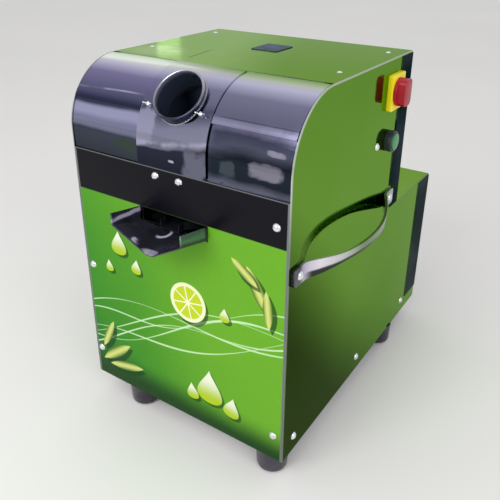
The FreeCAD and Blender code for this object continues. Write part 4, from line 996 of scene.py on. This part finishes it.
profile = [(0, 0), (12, 0)] + arc(17.5, 8, 8, -90, -5, 9) + [(26.2, 24), (27, 41.9), (0, 41.9)]
for corner, (x, y) in FEET.items():
    foot = turned(f"foot_{corner}_moulded", profile, (x, y, -UNDERSIDE), (0, 0, 1))
    add_piece(foot, "cabinet", "feet_rubber", instead_of=[f"foot_{corner}"])

# %% [markdown]
# ## Wing screws
# Two wing screws hold the feed plate to the hood. Each is a turned hub with a pair of rounded
# wings: a flat disc on each side, swept up at the tips.

# %% Wing screws


HUB = [(0, 0), (4.5, 0), (4.5, 0.7), (4.0, 2.4), (3.5, 5), (2.9, 6.8), (1.3, 7.5), (0, 7.7)]


def wing_screw(name, side):
    """Hub profile turned about the screw's axis, joined with two ellipsoidal wings."""
    lean = math.radians(33.5)
    axis = np.array((0, -math.cos(lean), math.sin(lean)))
    base = np.array((2.0 + side * 47, NOSE_Y, NOSE_Z)) + axis * (NOSE_R + 1.65)
    hub = turned(name, HUB, base, axis, 40)
    u = np.linspace(0, np.pi, 15)[:, None, None]
    v = np.linspace(0, 2 * np.pi, 24, endpoint=False)[None, :, None]
    along, thick, rise = np.cos(u) * 3.6, np.sin(u) * np.cos(v) * 1.2, np.sin(u) * np.sin(v) * 2.9
    height = 6.2 + rise + along * 0.55
    direction, other = across(axis)
    for way in (-1, 1):
        points = base + way * (5.2 + along) * direction + thick * other + height * axis
        wing = surface("wing", place(*np.moveaxis(points, -1, 0)), loop_columns=True)
        work = bmesh.new()
        work.from_mesh(hub.data)
        work.from_mesh(wing.data)
        work.to_mesh(hub.data)
        work.free()
        bpy.data.objects.remove(wing)
    return hub


for label, side in (("left", -1), ("right", 1)):
    screw = wing_screw(f"thumb_screw_{label}_cast", side)
    add_piece(screw, f"thumb_screw_{label}", "bright_fastener", instead_of=[f"thumb_screw_{label}"])

# %% [markdown]
# ## Floor and light
# A plain pale floor runs out so far that its edge is never in the picture, and catches the soft
# shadow. The light is a studio's: an even pale surround, a wide soft lamp high in front, a weaker
# one on the right, and two dim ones behind on the left, which are there for their mirror images:
# one whitens the roll just under the seam, the other puts a glint on the front corner of the top.

# %% Floor
reach = np.linspace(-40000, 40000, 3)
floor = surface("floor", place(*np.meshgrid(reach, reach), -UNDERSIDE))
floor_finish = Finish("floor", Roughness=0.8)
tone = floor_finish.noise(0.7, 2.0).between(0.2, 0.8)
floor_finish.paint(floor_finish.mix(tone, colour(232, 231, 228), colour(236, 235, 232)))
dress(floor, "floor")
print("floor at z =", floor.data.vertices[0].co.z)

# %% Surround
world = bpy.data.worlds.new("surround")
bpy.context.scene.world = world
world.use_nodes = True
background = world.node_tree.nodes["Background"]
background.inputs["Color"].default_value = (0.98, 0.98, 1.0, 1)
background.inputs["Strength"].default_value = 0.78

# %% Lamps


def lamp(name, where, towards, size, power):
    """Square area lamp at a point, aimed at another point."""
    light = bpy.data.lights.new(name, "AREA")
    light.size, light.energy = size, power
    item = bpy.data.objects.new(name, light)
    bpy.context.scene.collection.objects.link(item)
    item.location = where
    item.rotation_euler = (Vector(towards) - Vector(where)).to_track_quat("-Z", "Y").to_euler()
    print(name, power, "W")


lamp("key", (-0.26, -2.1, 1.9), (0, 0, 0.3), 1.2, 26)
lamp("fill", (2.4, -1.2, 1.6), (0, 0, 0.3), 1.4, 14)
lamp("sheen", (-1.95, 1.3, 1.75), (-0.1, -0.2, 0.6), 0.7, 0.28)
lamp("glint", (-1.77, 1.78, 1.05), (-0.17, -0.1, 0.62), 0.13, 0.05)
bpy.context.scene.view_settings.view_transform = "Standard"
